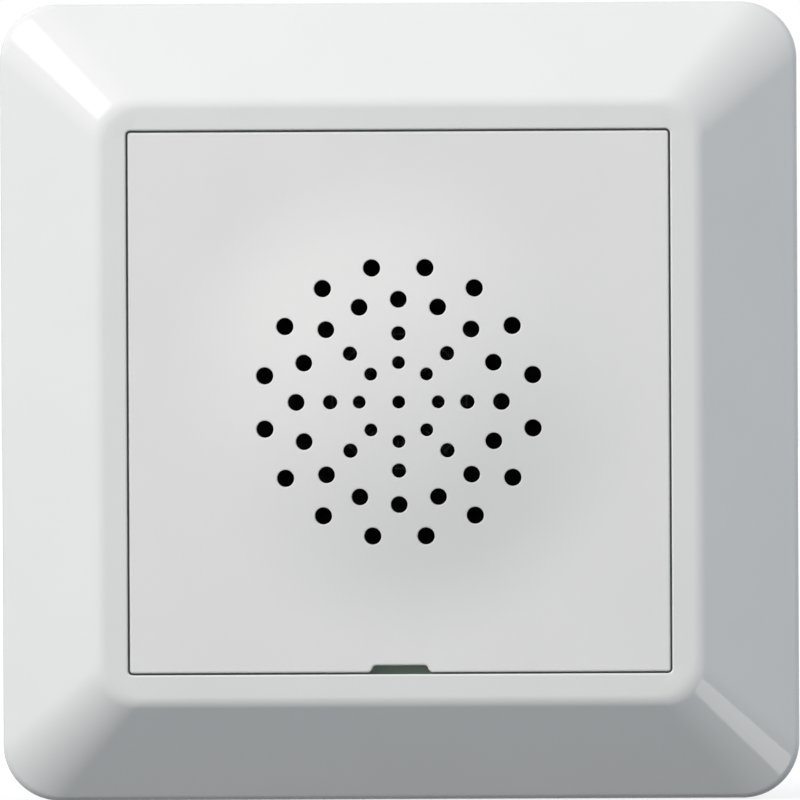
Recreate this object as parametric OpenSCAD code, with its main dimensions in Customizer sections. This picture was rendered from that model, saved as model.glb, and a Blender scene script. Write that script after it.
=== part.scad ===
// Flush-mounted electronic door chime. A sloped cover frame and a perforated centre plate snap over an
// insert that holds the loudspeaker, the sounder board and the terminals inside a round wall box.
// Pieces are drawn lying on the wall, face up, and on_wall() stands them up: x to the right, z up,
// the face towards -y and the wall at y = 0, with the origin in the middle of the support ring's back.

/* [Cover frame] */
// Outside width of the square frame
frame_w = 81; // [79:0.5:88]
// Height of the flat rim above the wall
frame_h = 10.4; // [10:0.1:12.5]
// Corner radius of the outside edge
frame_corner_r = 5.8; // [3:0.1:8]
// Height of the upright outer edge, up to its rounding
frame_edge_h = 2.2; // [1.5:0.1:3]
// Rounding between the upright edge and the slope
frame_edge_round = 1.3; // [0.6:0.1:2]
// Flat width of the rim around the aperture
rim_w = 2.2; // [1.6:0.1:3]
// Rounding between the slope and the flat rim
rim_round = 2; // [0.8:0.1:3]
// Corner radius where the flat rim begins
rim_corner_r = 4; // [2:0.1:6]
// Width of the square aperture
aperture_w = 55.2; // [54.5:0.1:57]
// Corner radius of the aperture
aperture_corner_r = 0.5; // [0.3:0.1:2]
// Wall of the moulding
frame_wall = 1.8; // [1.4:0.1:2.2]
// Wall of the collar around the aperture
collar_wall = 1.8; // [1.2:0.1:2]
// Depth of the plate's ledge below the rim
ledge_depth = 3.2; // [2.8:0.1:3.8]
// Width of the plate's ledge
ledge_w = 1.4; // [1:0.1:2]
// Thickness of the plate's ledge
ledge_t = 1.6; // [1:0.1:2]
// Thickness of the ribs between collar and edge
frame_rib_t = 1.2; // [0.8:0.1:1.8]
// Distance between the two ribs of one side
frame_rib_pitch = 40; // [34:1:46]

/* [Centre plate] */
// Gap between the plate and the aperture, each side
plate_gap = 0.2; // [0.1:0.05:0.4]
// How far the plate's face lies below the rim
plate_setback = 0.15; // [0:0.05:0.4]
// Thickness of the plate
plate_t = 1.8; // [1.4:0.1:2.2]
// Corner radius of the plate
plate_corner_r = 0.3; // [0.2:0.1:1.5]
// Rounding along the plate's front edge
plate_edge_round = 0.2; // [0.1:0.05:0.6]
// Wall of the skirt behind the plate
skirt_t = 1.3; // [1:0.1:1.6]
// Gap between the skirt and the ledge
skirt_gap = 0.3; // [0.2:0.05:0.5]
// Corner radius of the skirt's outside
skirt_corner_r = 2.4; // [1.8:0.1:4]
// Gap between the skirt's end and the carrier's flange
skirt_end_gap = 0.6; // [0.4:0.1:1]
// Width of a catch arm
arm_w = 7; // [5:0.5:9]
// Distance between the two catch arms of one side
arm_pitch = 24; // [18:1:28]
// Width of the slits that free a catch arm
arm_slit = 0.8; // [0.6:0.1:1.2]
// Gap between the skirt and the carrier's tower
arm_gap = 1.6; // [1.3:0.1:2]
// How far a catch stands out from the carrier's tower
catch_out = 0.75; // [0.5:0.05:0.9]
// Clearance between a catch and its barb
catch_clear = 0.1; // [0.05:0.05:0.2]
// Height of a catch and of a barb
catch_h = 1.1; // [0.9:0.1:1.3]
// Depth of the locating rib round the gasket
gasket_rib_h = 0.7; // [0.4:0.1:1.2]
// Wall of the locating rib round the gasket
gasket_rib_t = 1; // [0.8:0.1:1.6]
// Width of the pry notch at the plate's edge
notch_w = 6.3; // [4:0.1:9]
// Width of the pry notch at its inner end
notch_inner_w = 5.7; // [3:0.1:8]
// Height of the pry notch in the face
notch_h = 0.7; // [0.6:0.05:1.2]
// Corner radius of the pry notch
notch_corner_r = 0.4; // [0.2:0.05:0.5]

/* [Bulge] */
// Distance from the plate's side to the foot of the bulge
bulge_edge = 2.4; // [1.6:0.1:4]
// Tilt of the bulge's flank, in degrees
bulge_tilt = 7.5; // [5:0.5:9]
// Radius of the rounded crown
crown_r = 11.5; // [9:0.5:13]
// Width of the straight flank
flank_w = 5; // [3:0.5:6]
// Wall in the middle of the crown
crown_t = 2.1; // [1.8:0.1:2.6]

/* [Grille] */
// Diameter of the middle hole
middle_hole_d = 1.3; // [0.8:0.05:2]
// Radius of the first ring of holes
ring_1_r = 4; // [3:0.1:4.5]
// Holes in the first ring
ring_1_count = 8; // [6:1:10]
// Diameter of the first ring's holes
ring_1_hole_d = 1.3; // [0.8:0.05:1.8]
// Radius of the second ring of holes
ring_2_r = 6.95; // [6.5:0.05:7.5]
// Holes in the second ring
ring_2_count = 8; // [6:1:12]
// Diameter of the second ring's holes
ring_2_hole_d = 1.45; // [0.8:0.05:1.8]
// Radius of the third ring of holes
ring_3_r = 10.4; // [9.8:0.1:11]
// Holes in the third ring
ring_3_count = 16; // [12:1:20]
// Diameter of the third ring's holes
ring_3_hole_d = 1.7; // [1:0.05:2]
// Radius of the outer ring of holes
ring_4_r = 13.85; // [13:0.05:14]
// Holes in the outer ring
ring_4_count = 16; // [12:1:20]
// Diameter of the outer ring's holes
ring_4_hole_d = 1.75; // [1:0.05:2]

/* [Support ring] */
// Gap between the support ring and the frame's wall, each side
support_gap = 3.2; // [2.8:0.1:4]
// Sheet thickness of the support ring
support_t = 1.2; // [1:0.1:1.5]
// Corner radius of the support ring
support_corner_r = 9; // [6:0.5:12]
// Distance from the ring's edge to the circle of the wall box's screws
box_screw_edge = 5.5; // [5.2:0.1:5.8]
// Diameter of the hole in which a box screw seats
seat_hole_d = 5; // [4.8:0.1:5.4]
// Diameter of the hole that passes a box screw's head
head_hole_d = 7.2; // [6.8:0.1:7.6]
// Width of the neck between both holes
neck_slot_w = 3.3; // [3.1:0.1:3.4]
// Turn from the seat hole to the head hole
head_turn = 14; // [13:0.5:18]
// Diameter of the corner holes for wall plugs
corner_hole_d = 4.2; // [3:0.1:5]
// Distance from the ring's edges to the corner holes
corner_hole_edge = 8.5; // [7.5:0.1:9.5]
// Diameter of the alignment notches in the sides
side_notch_d = 4; // [2:0.1:5]

/* [Carrier and cup] */
// Outside diameter of the housing cup
cup_d = 52; // [50:0.2:52.4]
// Wall of the housing cup
cup_wall = 1.6; // [1.2:0.1:2]
// Thickness of the cup's back
cup_back_t = 1.8; // [1.4:0.1:2.4]
// Rounding of the cup's back edge
cup_edge_round = 3; // [2:0.1:4]
// Radius of the cup's screw bosses
cup_boss_r = 3.7; // [3.5:0.1:4]
// Boss material between screw head and board
cup_land = 4; // [3:0.1:6]
// Radial width of the ribs that carry the board's edge
board_rib_w = 1.6; // [1.2:0.1:2]
// Thickness of the ribs that carry the board's edge
board_rib_t = 1.4; // [1:0.1:2]
// Gap between the carrier's neck and the cup
neck_gap = 0.3; // [0.2:0.05:0.5]
// Wall of the carrier's neck
neck_wall = 1.4; // [1.2:0.1:1.6]
// Length of the neck behind the wall
neck_len = 3; // [2:0.1:4]
// Thickness of the carrier's flange
flange_t = 1.6; // [1.2:0.1:1.8]
// Overlap of the flange on the support ring
flange_seat = 0.8; // [0.6:0.1:0.9]
// Corner radius of the flange
flange_corner_r = 3; // [2:0.1:5]
// Wall of the carrier's tower
tower_wall = 1.6; // [1.2:0.1:1.8]
// Height of the tower's rim above the deck
tower_rim_h = 1.2; // [0.8:0.1:1.6]
// Room between the neck and the parts on the deck
neck_room = 1.3; // [1.2:0.1:1.8]
// Thickness of the deck
deck_t = 1.8; // [1.7:0.1:2.2]
// Radius of the carrier's long bosses
long_boss_r = 2.6; // [2.3:0.1:2.8]
// Diameter of the housing screws
housing_screw_d = 2.5; // [2.2:0.1:2.8]
// Head diameter of the housing screws
housing_head_d = 4.6; // [4.2:0.1:4.8]
// Head height of the housing screws
housing_head_h = 1.8; // [1.4:0.1:2.2]
// Length of a housing screw inside the carrier's boss
housing_grip = 7; // [5:0.5:8]
// Clearance round a screw in a through hole
screw_clear = 0.15; // [0.1:0.05:0.3]
// Clearance round a screw in its own thread
thread_clear = 0.02; // [0.01:0.01:0.04]
// Clearance between seated faces
seat_clear = 0.05; // [0.02:0.01:0.1]

/* [Loudspeaker] */
// Room on the deck round the loudspeaker
speaker_room = 5.4; // [5.3:0.1:5.8]
// Depth of the loudspeaker
speaker_depth = 9; // [8.5:0.1:10]
// Sheet thickness of the basket
basket_t = 0.6; // [0.5:0.05:0.7]
// Depth of the basket
basket_depth = 4.4; // [4.2:0.1:4.8]
// Width of the basket's flat rim
basket_rim_w = 1.6; // [1.4:0.1:1.8]
// How far the basket narrows from its mouth to its floor, each side
basket_flare = 3; // [2.6:0.1:3.2]
// Width of the basket's floor round the yoke
basket_floor_w = 2.2; // [1.8:0.1:2.4]
// Angle of each window in the basket
basket_window = 44; // [30:1:55]
// Clearance between the basket and the deck
basket_clear = 0.3; // [0.2:0.05:0.4]
// Wall of the yoke
yoke_wall = 1.5; // [1.3:0.1:1.6]
// Thickness of the yoke's bottom
yoke_bottom_t = 1.3; // [1:0.1:1.6]
// Width of the yoke's shoulder under the basket
yoke_shoulder = 0.7; // [0.5:0.1:0.9]
// Gap between the magnet and the yoke
magnet_gap = 1.5; // [1.3:0.1:1.9]
// Thickness of the magnet
magnet_t = 2.3; // [2:0.1:2.5]
// Gap between the pole plate and the yoke
pole_slot = 1.2; // [1.1:0.05:1.4]
// Thickness of the pole plate
pole_t = 1.2; // [1:0.1:1.4]
// Gap between the pole plate and the coil former
pole_gap = 0.25; // [0.15:0.05:0.35]
// Wall of the coil former
former_t = 0.15; // [0.1:0.05:0.2]
// Thickness of the winding
winding_t = 0.4; // [0.3:0.05:0.45]
// Length of the winding
winding_len = 2.6; // [2.2:0.1:2.8]
// Thickness of the diaphragm film
film_t = 0.2; // [0.15:0.05:0.3]
// Height of the dome
dome_h = 1.4; // [1:0.1:1.8]
// Drop of the dome's foot below the basket's rim
dome_drop = 1; // [0.8:0.1:1.2]
// Distance from the basket's mouth to the diaphragm's edge
surround_w = 3.1; // [2.9:0.1:3.4]
// Radius of the surround's roll
roll_r = 1.1; // [0.9:0.05:1.2]
// Width of the tag board
tag_board_w = 9; // [8:0.5:11]
// Length of the tag board
tag_board_len = 3.6; // [3.2:0.1:3.8]
// Thickness of the tag board
tag_board_t = 0.8; // [0.6:0.1:1]
// Distance between the solder tags
tag_pitch = 5.2; // [4.6:0.1:5.6]
// Width of a solder tag
tag_w = 1.6; // [1.2:0.1:2]
// Thickness of a solder tag
tag_t = 0.4; // [0.3:0.05:0.5]
// Diameter of a speaker lead
lead_d = 1.1; // [0.9:0.05:1.2]
// Slack of a speaker lead to the side
lead_slack = 0.5; // [0.2:0.05:0.7]

/* [Retainer and gasket] */
// Wall of the retainer round the loudspeaker
retainer_wall = 1.4; // [1:0.1:1.6]
// Clearance between the loudspeaker and the retainer
retainer_clear = 0.1; // [0.05:0.01:0.15]
// Thickness of the retainer's lip
lip_t = 1.3; // [1:0.1:1.5]
// Width of the retainer's lip on the loudspeaker's rim
lip_w = 1.1; // [0.9:0.05:1.2]
// Wall of the retainer's ears round a screw head
ear_wall = 0.6; // [0.5:0.1:0.7]
// Diameter of the retainer screws
retainer_screw_d = 2; // [1.7:0.1:2.2]
// Head diameter of the retainer screws
retainer_head_d = 3.8; // [3.4:0.1:4]
// Head height of the retainer screws
retainer_head_h = 1; // [0.8:0.1:1.1]
// How deep the retainer screw heads lie below the retainer's face
retainer_head_recess = 0.2; // [0.1:0.05:0.25]
// Length of the retainer screws
retainer_screw_len = 5; // [4.4:0.1:5.6]
// Wall of the bosses that take the retainer screws
screw_boss_wall = 1; // [0.8:0.1:1.2]
// Thickness of the foam gasket
gasket_t = 1.5; // [1.2:0.1:1.8]
// Radial width of the foam gasket
gasket_w = 2.2; // [1.6:0.1:2.4]
// Gap between the foam gasket and the plate
gasket_gap = 0.3; // [0.2:0.05:0.4]

/* [Circuit board] */
// Room between the loudspeaker and the board
board_headroom = 6.8; // [6.4:0.1:8]
// Thickness of the board
board_t = 1.6; // [1:0.1:2]
// Gap between the board and the cup
board_gap = 0.5; // [0.3:0.05:0.7]
// Width of a chip across its body
chip_w = 6.4; // [6:0.1:6.8]
// Height of a chip's body
chip_h = 3.3; // [2.8:0.1:3.6]
// Gap between a chip's body and the board
chip_standoff = 0.5; // [0.3:0.1:0.7]
// Distance between neighbouring chip pins
chip_pitch = 2.54; // [2.4:0.02:2.6]
// Distance between both rows of chip pins
pin_row_pitch = 7.62; // [7.4:0.02:7.8]
// Pins on one side of the chime chip
chime_pins = 7; // [4:1:7]
// Pins on one side of the amplifier chip
amplifier_pins = 4; // [3:1:4]
// Place of the chime chip above the middle
chime_chip_y = -2.5; // [-3:0.1:-2]
// Clear space between neighbouring parts on the board
part_gap = 0.5; // [0.3:0.05:0.6]
// Length of the bridge rectifier
bridge_len = 8.3; // [7.6:0.1:8.6]
// Diameter of the smoothing capacitor
smoothing_d = 8; // [7:0.1:8.4]
// Height of the smoothing capacitor
smoothing_h = 8.4; // [7:0.1:9]
// Diameter of the coupling capacitors
coupling_d = 5; // [4:0.1:5.4]
// Height of the coupling capacitors
coupling_h = 7; // [5:0.1:8]
// Length of a film capacitor
film_cap_len = 6; // [5:0.1:6.4]
// Thickness of a film capacitor
film_cap_t = 2.5; // [2:0.1:2.6]
// Height of a film capacitor
film_cap_h = 6; // [4:0.1:8]
// Length of a resistor's body
resistor_len = 6.3; // [5:0.1:6.6]
// Diameter of a resistor
resistor_d = 2.2; // [1.8:0.1:2.4]
// Diameter of a resistor's wire
resistor_wire_d = 0.6; // [0.5:0.05:0.8]
// Distance between the bent wires of a resistor
resistor_span = 9; // [8:0.1:9.4]
// Number of resistors
resistor_count = 4; // [1:1:4]

/* [Controls] */
// Diameter of a trimmer
trimmer_d = 6.4; // [6:0.1:6.8]
// Height of a trimmer
trimmer_h = 4; // [3:0.1:4.5]
// Room on the deck beside a control's head
control_room = 1.3; // [1.3:0.05:1.6]
// Angle of the controls from the middle line
control_angle = 30; // [26:1:32]
// Diameter of a spindle
spindle_d = 3; // [2.6:0.1:3.2]
// Diameter of a spindle's plug in the trimmer
spindle_plug_d = 2; // [1.6:0.1:2.2]
// Length of a spindle's plug in the trimmer
spindle_plug_len = 2.4; // [1.6:0.1:2.8]
// Running clearance round a spindle
spindle_clear = 0.06; // [0.03:0.01:0.1]
// Diameter of a spindle's head
spindle_head_d = 4.4; // [4:0.1:4.8]
// Height of a spindle's head
spindle_head_h = 1.2; // [1:0.1:1.4]
// Width of the screwdriver slots
driver_slot_w = 0.6; // [0.4:0.05:0.8]
// Depth of the screwdriver slots
driver_slot_depth = 0.6; // [0.4:0.05:0.8]
// Span of the cross slots
cross_span = 2.4; // [2:0.1:2.8]

/* [Terminals] */
// Spacing of the poles
pole_pitch = 5; // [4.8:0.02:5.08]
// End wall of the terminal block
block_end_wall = 0.3; // [0.2:0.05:0.4]
// Depth of the terminal block
block_depth = 8.6; // [8.4:0.1:8.8]
// Height of the terminal block on the board
block_h = 12.6; // [12.4:0.1:13.5]
// Wall on the wire side of the block
block_wall = 1; // [0.8:0.1:1.2]
// Distance from the board's edge to the block
block_edge = 1.6; // [1.4:0.1:2]
// How deep the block sits below the cup's back
block_recess = 0.6; // [0.3:0.1:1]
// Gap between the block and the cup
block_gap = 0.4; // [0.3:0.05:0.6]
// Width of a pole's chamber
chamber_w = 3.9; // [3.8:0.05:4]
// Length of a pole's chamber
chamber_len = 6; // [5.8:0.1:6.2]
// Floor of a pole's chamber
chamber_floor = 1; // [0.8:0.1:1.2]
// Thickness of the shoulder under a screw head
head_shoulder = 0.8; // [0.6:0.1:1]
// Clearance of a cage in its chamber
cage_clear = 0.2; // [0.1:0.05:0.25]
// Length of a clamp cage along the wire
cage_len = 4.4; // [4:0.1:4.4]
// Height of a clamp cage
cage_h = 6; // [5.8:0.1:6.2]
// Wall of a clamp cage
cage_wall = 0.6; // [0.5:0.05:0.65]
// Thickness of a clamp cage at its thread
cage_nut_t = 1.2; // [1:0.1:1.3]
// Width of a terminal bar
bar_w = 1.9; // [1.6:0.05:2]
// Thickness of a terminal bar
bar_t = 0.8; // [0.6:0.05:0.9]
// Gap between a terminal bar and the open cage
bar_gap = 0.3; // [0.2:0.05:0.4]
// How far a bar's pin stands out from the board
pin_out = 0.8; // [0.5:0.1:1]
// Diameter of a terminal screw
terminal_screw_d = 2; // [1.8:0.1:2.1]
// Head diameter of a terminal screw
terminal_head_d = 3.6; // [3.4:0.05:3.7]
// Head height of a terminal screw
terminal_head_h = 1.5; // [1.2:0.1:1.6]
// How deep a terminal screw's head lies in the block
terminal_head_recess = 0.25; // [0.1:0.05:0.4]

/* [Hidden] */
$fn = 48;
overcut = 1;
arc_steps = 5;
corner_steps = 8;
ball_fn = 480;
sweep_dip = 0.01;
lead_steps = 8;
lead_sides = 8;
poles = [-1, 0, 1];
sides = [-1, 1];
quarter_turns = [0, 90, 180, 270];
retainer_turns = [30, 150, 270];

// Widths and half widths of the square pieces
support_w = frame_w - 2 * (frame_wall + support_gap);
aperture_half = aperture_w / 2;
collar_half = aperture_half + collar_wall;
ledge_half = aperture_half - ledge_w;
plate_w = aperture_w - 2 * plate_gap;
skirt_half = ledge_half - skirt_gap;
skirt_inner_half = skirt_half - skirt_t;
bulge_r = plate_w / 2 - bulge_edge;
sweep_w = bulge_r - crown_r - flank_w;
crown_ball_r = crown_r / sin(bulge_tilt);
sweep_r = sweep_w / sin(bulge_tilt);
tower_half = skirt_inner_half - arm_gap;
tower_corner_r = skirt_corner_r - skirt_t;

// Radii of the round pieces
cup_r = cup_d / 2;
cup_inner_r = cup_r - cup_wall;
neck_r = cup_inner_r - neck_gap;
neck_inner_r = neck_r - neck_wall;
flange_w = 2 * (cup_inner_r + flange_seat);
board_r = cup_inner_r - board_gap;
deck_r = min(tower_half - tower_wall, neck_inner_r - neck_room);
speaker_r = deck_r - speaker_room;
basket_mouth_r = speaker_r - basket_rim_w;
basket_floor_r = basket_mouth_r - basket_flare;
yoke_r = basket_floor_r - basket_floor_w;
yoke_inner_r = yoke_r - yoke_wall;
magnet_r = yoke_inner_r - magnet_gap;
pole_r = yoke_inner_r - pole_slot;
diaphragm_r = basket_mouth_r - surround_w;
retainer_r = speaker_r + retainer_clear + retainer_wall;
retainer_mouth_r = speaker_r - lip_w;
retainer_screw_r = retainer_r + retainer_head_d / 2 - screw_boss_wall;
screw_boss_r = retainer_screw_d / 2 + screw_boss_wall;
ear_r = retainer_head_d / 2 + screw_clear + ear_wall;
gasket_r = retainer_mouth_r + gasket_w;
former_r = pole_r + pole_gap;
dome_r = former_r + former_t;
winding_r = dome_r + winding_t;
control_r = (deck_r - spindle_head_d / 2 - control_room) / cos(control_angle);
box_screw_r = support_w / 2 - box_screw_edge;
corner_hole_at = support_w / 2 - corner_hole_edge;
long_boss_x = neck_inner_r - long_boss_r + neck_wall / 2;

// Levels above the wall, from the face back to the cup
plate_front = frame_h - plate_setback;
plate_back = plate_front - plate_t;
sweep_top = plate_front + sweep_r * (1 - cos(bulge_tilt));
crown_foot = sweep_top + flank_w * tan(bulge_tilt);
crown_top = crown_foot + crown_ball_r * (1 - cos(bulge_tilt));
crown_back = crown_top - crown_t;
ledge_top = frame_h - ledge_depth;
ledge_bottom = ledge_top - ledge_t;
gasket_top = plate_back - gasket_gap;
retainer_top = gasket_top - gasket_t;
ear_seat = retainer_top - retainer_head_h - retainer_head_recess;
rim_top = retainer_top - lip_t - film_t;
deck_top = rim_top - basket_t;
deck_bottom = deck_top - deck_t;
tower_top = deck_top + tower_rim_h;
flange_top = support_t + flange_t;
skirt_end = flange_top + skirt_end_gap;
basket_floor = rim_top - basket_depth;
yoke_back = rim_top - speaker_depth;
magnet_back = yoke_back + yoke_bottom_t;
pole_back = magnet_back + magnet_t;
winding_back = pole_back + pole_t / 2 - winding_len / 2;
dome_foot = rim_top - dome_drop;
board_front = yoke_back - board_headroom;
board_back = board_front - board_t;
block_back = board_back - block_h;
cup_back = block_back - block_recess;
screw_seat = board_back - cup_land;
tag_top = basket_floor - tag_board_t;
tag_back = tag_top - tag_t;

// Slope of the frame: the line that touches both roundings
slope_run = (frame_w - aperture_w) / 2 - rim_w;
edge_centre = [frame_edge_round, frame_edge_h];
rim_centre = [slope_run, frame_h - rim_round];
slope_span = rim_centre - edge_centre;
slope_angle = atan2(slope_span[1], slope_span[0]) - asin((frame_edge_round - rim_round) / norm(slope_span));
slope_normal = [-sin(slope_angle), cos(slope_angle)];
hollow_point = edge_centre + (frame_edge_round - frame_wall) * slope_normal;
hollow_top = frame_h - frame_wall;
frame_profile = concat(
  [[0, 0]],
  rounding(edge_centre, frame_edge_round, 0, 90 - slope_angle),
  rounding(rim_centre, rim_round, 90 - slope_angle, 90)
);
hollow_profile = [
  [frame_wall, -overcut],
  [frame_wall, hollow_point[1] + (frame_wall - hollow_point[0]) * tan(slope_angle)],
  [hollow_point[0] + (hollow_top - hollow_point[1]) / tan(slope_angle), hollow_top]
];

// Dome as part of a ball
dome_ball_r = (pow(dome_r, 2) + pow(dome_h, 2)) / (2 * dome_h);

// Hollow behind the crown, also part of a ball
crown_hollow_r = retainer_mouth_r - seat_clear;
crown_hollow_h = crown_back - plate_back;
hollow_ball_r = (pow(crown_hollow_r, 2) + pow(crown_hollow_h, 2)) / (2 * crown_hollow_h);

// Places of the terminals
block_w = len(poles) * pole_pitch + 2 * block_end_wall;
block_face = -(board_r - block_edge);
chamber_start = block_face + block_wall;
terminal_y = chamber_start + cage_clear + cage_len / 2;
cage_back = board_back - chamber_floor - cage_clear - cage_h;
bar_back = cage_back + cage_nut_t + bar_gap;
head_seat = block_back + terminal_head_recess + terminal_head_h;
bar_pin_y = chamber_start + chamber_len - bar_t;

// Places of the parts on the board
chime_len = chime_pins * chip_pitch;
amplifier_len = amplifier_pins * chip_pitch;
upper_row_y = chime_chip_y + pin_row_pitch + 2 * part_gap;
free_x = long_boss_x - long_boss_r - part_gap;
pin_side_x = pole_pitch + bar_w / 2 + part_gap;
smoothing_at = [-pin_side_x - smoothing_d / 2, chime_chip_y - (pin_row_pitch + smoothing_d) / 2 - 2 * part_gap];
coupling_at = [coupling_d / 2 - free_x, upper_row_y];
resistor_pitch = resistor_d + part_gap;
resistor_at = [
  (chime_len + resistor_span + resistor_wire_d) / 2 + part_gap,
  -long_boss_r - part_gap - resistor_d / 2
];
film_cap_pitch = film_cap_t + part_gap;
film_cap_at = [pin_side_x, resistor_at[1] - resistor_count * resistor_pitch + resistor_d / 2 - film_cap_t];

// Places of the loudspeaker's tags
tag_board_y = -(yoke_r + yoke_shoulder + seat_clear) - tag_board_len;
tag_y = tag_board_y - tag_w / 2;

function rounding(centre, r, from, to) =
  [for (i = [0:arc_steps]) let (a = from + (to - from) * i / arc_steps) centre + r * [-cos(a), sin(a)]];

function frame_corner(inset) = frame_corner_r + (rim_corner_r - frame_corner_r) * inset / slope_run;

// Points round a square with rounded corners
function square_ring(half, r, z) = [
  for (turn = quarter_turns, i = [0:corner_steps])
    let (
      a = turn + 90 * i / corner_steps,
      middle = (half - r) * sqrt(2)
    )
    [middle * cos(turn + 45) + r * cos(a), middle * sin(turn + 45) + r * sin(a), z]
];

// Points round a lead at a share t of its way from the board up to the tag
function lead_ring(x, t) =
  let (
    out = x + sign(x) * lead_slack * sin(180 * t),
    z = board_front + (tag_back - board_front) * t
  )
  [for (i = [0:lead_sides - 1])
    [out + lead_d / 2 * cos(360 * i / lead_sides), tag_y + lead_d / 2 * sin(360 * i / lead_sides), z]];

module on_wall() {
  rotate([90, 0, 0]) children();
}

module at_level(z) {
  translate([0, 0, z]) children();
}

// Solid through a stack of rings of points
module loft(rings) {
  n = len(rings[0]);
  last = len(rings) - 1;
  polyhedron(
    points = [for (ring = rings) each ring],
    faces = concat(
      [[for (i = [0:n - 1]) i]],
      [for (k = [0:last - 1], i = [0:n - 1])
        [k * n + i, (k + 1) * n + i, (k + 1) * n + (i + 1) % n, k * n + (i + 1) % n]],
      [[for (i = [n - 1:-1:0]) last * n + i]]
    )
  );
}

module rounded_square(w, r) {
  square([w - 2 * r, w], center = true);
  square([w, w - 2 * r], center = true);
  for (x = sides, y = sides) translate([x, y] * (w / 2 - r)) circle(r);
}

module square_block(half, r, from, to) {
  at_level(from) linear_extrude(to - from) rounded_square(2 * half, r);
}

module disc(r, from, to) {
  at_level(from) cylinder(r = r, h = to - from);
}

module tube(outer_r, inner_r, from, to) {
  rotate_extrude() translate([inner_r, from]) square([outer_r - inner_r, to - from]);
}

module box(from, to) {
  translate(from) cube(to - from);
}

// Slab with its front edges rounded on all four sides
module edge_rounded_slab(w, corner_r, from, to, edge) {
  intersection() {
    square_block(w / 2, corner_r, from, to);
    for_both_ways(w) {
      translate([-w / 2, from]) square([w, to - from - edge]);
      translate([edge - w / 2, from]) square([w - 2 * edge, to - from]);
      for (x = sides) translate([x * (w / 2 - edge), to - edge]) circle(edge);
    }
  }
}

// Upright profile carried across a square of width w in both directions
module for_both_ways(w) {
  intersection_for(turn = [0, 90])
    rotate([90, 0, turn]) linear_extrude(w + 2 * overcut, center = true) children();
}

module cross_slot() {
  for (turn = [0, 90]) rotate(turn)
    translate([-cross_span / 2, -driver_slot_w / 2, -driver_slot_depth])
      cube([cross_span, driver_slot_w, driver_slot_depth + overcut]);
}

module cover_frame() {
  color("white") on_wall() difference() {
    loft([for (p = frame_profile) square_ring(frame_w / 2 - p[0], frame_corner(p[0]), p[1])]);
    difference() {
      loft([for (p = hollow_profile)
        square_ring(frame_w / 2 - p[0], max(frame_corner(p[0]) - frame_wall, frame_wall / 2), p[1])]);
      square_block(collar_half, aperture_corner_r + collar_wall, ledge_bottom, frame_h);
      for (turn = quarter_turns, side = sides)
        rotate(turn)
          translate([collar_half - overcut, side * frame_rib_pitch / 2 - frame_rib_t / 2, support_t + seat_clear])
            cube([frame_w / 2 - collar_half, frame_rib_t, frame_h]);
    }
    square_block(aperture_half, aperture_corner_r, ledge_top, frame_h + overcut);
    square_block(ledge_half, aperture_corner_r, -overcut, frame_h);
  }
}

module centre_plate() {
  color("white") on_wall() difference() {
    union() {
      edge_rounded_slab(plate_w, plate_corner_r, ledge_top + seat_clear, plate_front, plate_edge_round);
      square_block(skirt_half, skirt_corner_r, skirt_end, plate_back);
      bulge();
    }
    plate_hollow();
    crown_hollow();
    grille_holes();
    pry_notch();
    arm_slits();
  }
}

// Room behind the plate, less the barbs and the rib round the gasket
module plate_hollow() {
  difference() {
    square_block(skirt_inner_half, tower_corner_r, skirt_end - overcut, plate_back);
    tube(gasket_r + gasket_gap + gasket_rib_t, gasket_r + gasket_gap, plate_back - gasket_rib_h, plate_front);
    catch_rows(skirt_inner_half, -(arm_gap - catch_out - catch_clear), skirt_end + catch_h / 2);
  }
}

// Low bulge of the face: a round crown, a straight flank and a sweep that runs out into the flat face
module bulge() {
  base = plate_front - plate_t / 2;
  rotate_extrude() difference() {
    union() {
      intersection() {
        translate([0, crown_top - crown_ball_r]) circle(crown_ball_r, $fn = ball_fn);
        translate([0, base]) square([crown_r, crown_top - base]);
      }
      polygon([[crown_r, base], [bulge_r, base], [bulge_r, plate_front], [crown_r + flank_w, sweep_top],
        [crown_r, crown_foot]]);
    }
    translate([bulge_r, plate_front - sweep_dip + sweep_r]) circle(sweep_r, $fn = ball_fn);
  }
}

// Hollow that keeps the wall behind the bulge even
module crown_hollow() {
  rotate_extrude() intersection() {
    translate([0, crown_back - hollow_ball_r]) circle(hollow_ball_r, $fn = ball_fn);
    translate([0, plate_back - overcut]) square([crown_hollow_r, crown_hollow_h + overcut]);
  }
}

module grille_holes() {
  disc(middle_hole_d / 2, plate_back - overcut, crown_top + overcut);
  hole_ring(ring_1_r, ring_1_count, ring_1_hole_d, 0);
  hole_ring(ring_2_r, ring_2_count, ring_2_hole_d, 0);
  hole_ring(ring_3_r, ring_3_count, ring_3_hole_d, 0);
  hole_ring(ring_4_r, ring_4_count, ring_4_hole_d, 0.5);
}

module hole_ring(r, count, d, shift) {
  for (i = [0:count - 1])
    rotate(360 * (i + shift) / count) translate([r, 0, 0])
      disc(d / 2, plate_back - overcut, crown_top + overcut);
}

module pry_notch() {
  corner = notch_inner_w / 2 - notch_corner_r;
  at_level(ledge_top) linear_extrude(frame_h - ledge_top) translate([0, -plate_w / 2]) {
    polygon([
      [-notch_w / 2, -overcut], [notch_w / 2, -overcut], [notch_w / 2, 0],
      [notch_inner_w / 2, notch_h - notch_corner_r], [corner, notch_h], [-corner, notch_h],
      [-notch_inner_w / 2, notch_h - notch_corner_r], [-notch_w / 2, 0]
    ]);
    for (x = sides) translate([x * corner, notch_h - notch_corner_r]) circle(notch_corner_r);
  }
}

module arm_slits() {
  for (x = sides, arm = sides, edge = sides)
    translate([x * (skirt_inner_half + skirt_t / 2), arm * arm_pitch / 2 + edge * (arm_w + arm_slit) / 2,
      (skirt_end + ledge_bottom) / 2])
      cube([2 * skirt_t, arm_slit, ledge_bottom - skirt_end + overcut], center = true);
}

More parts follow.
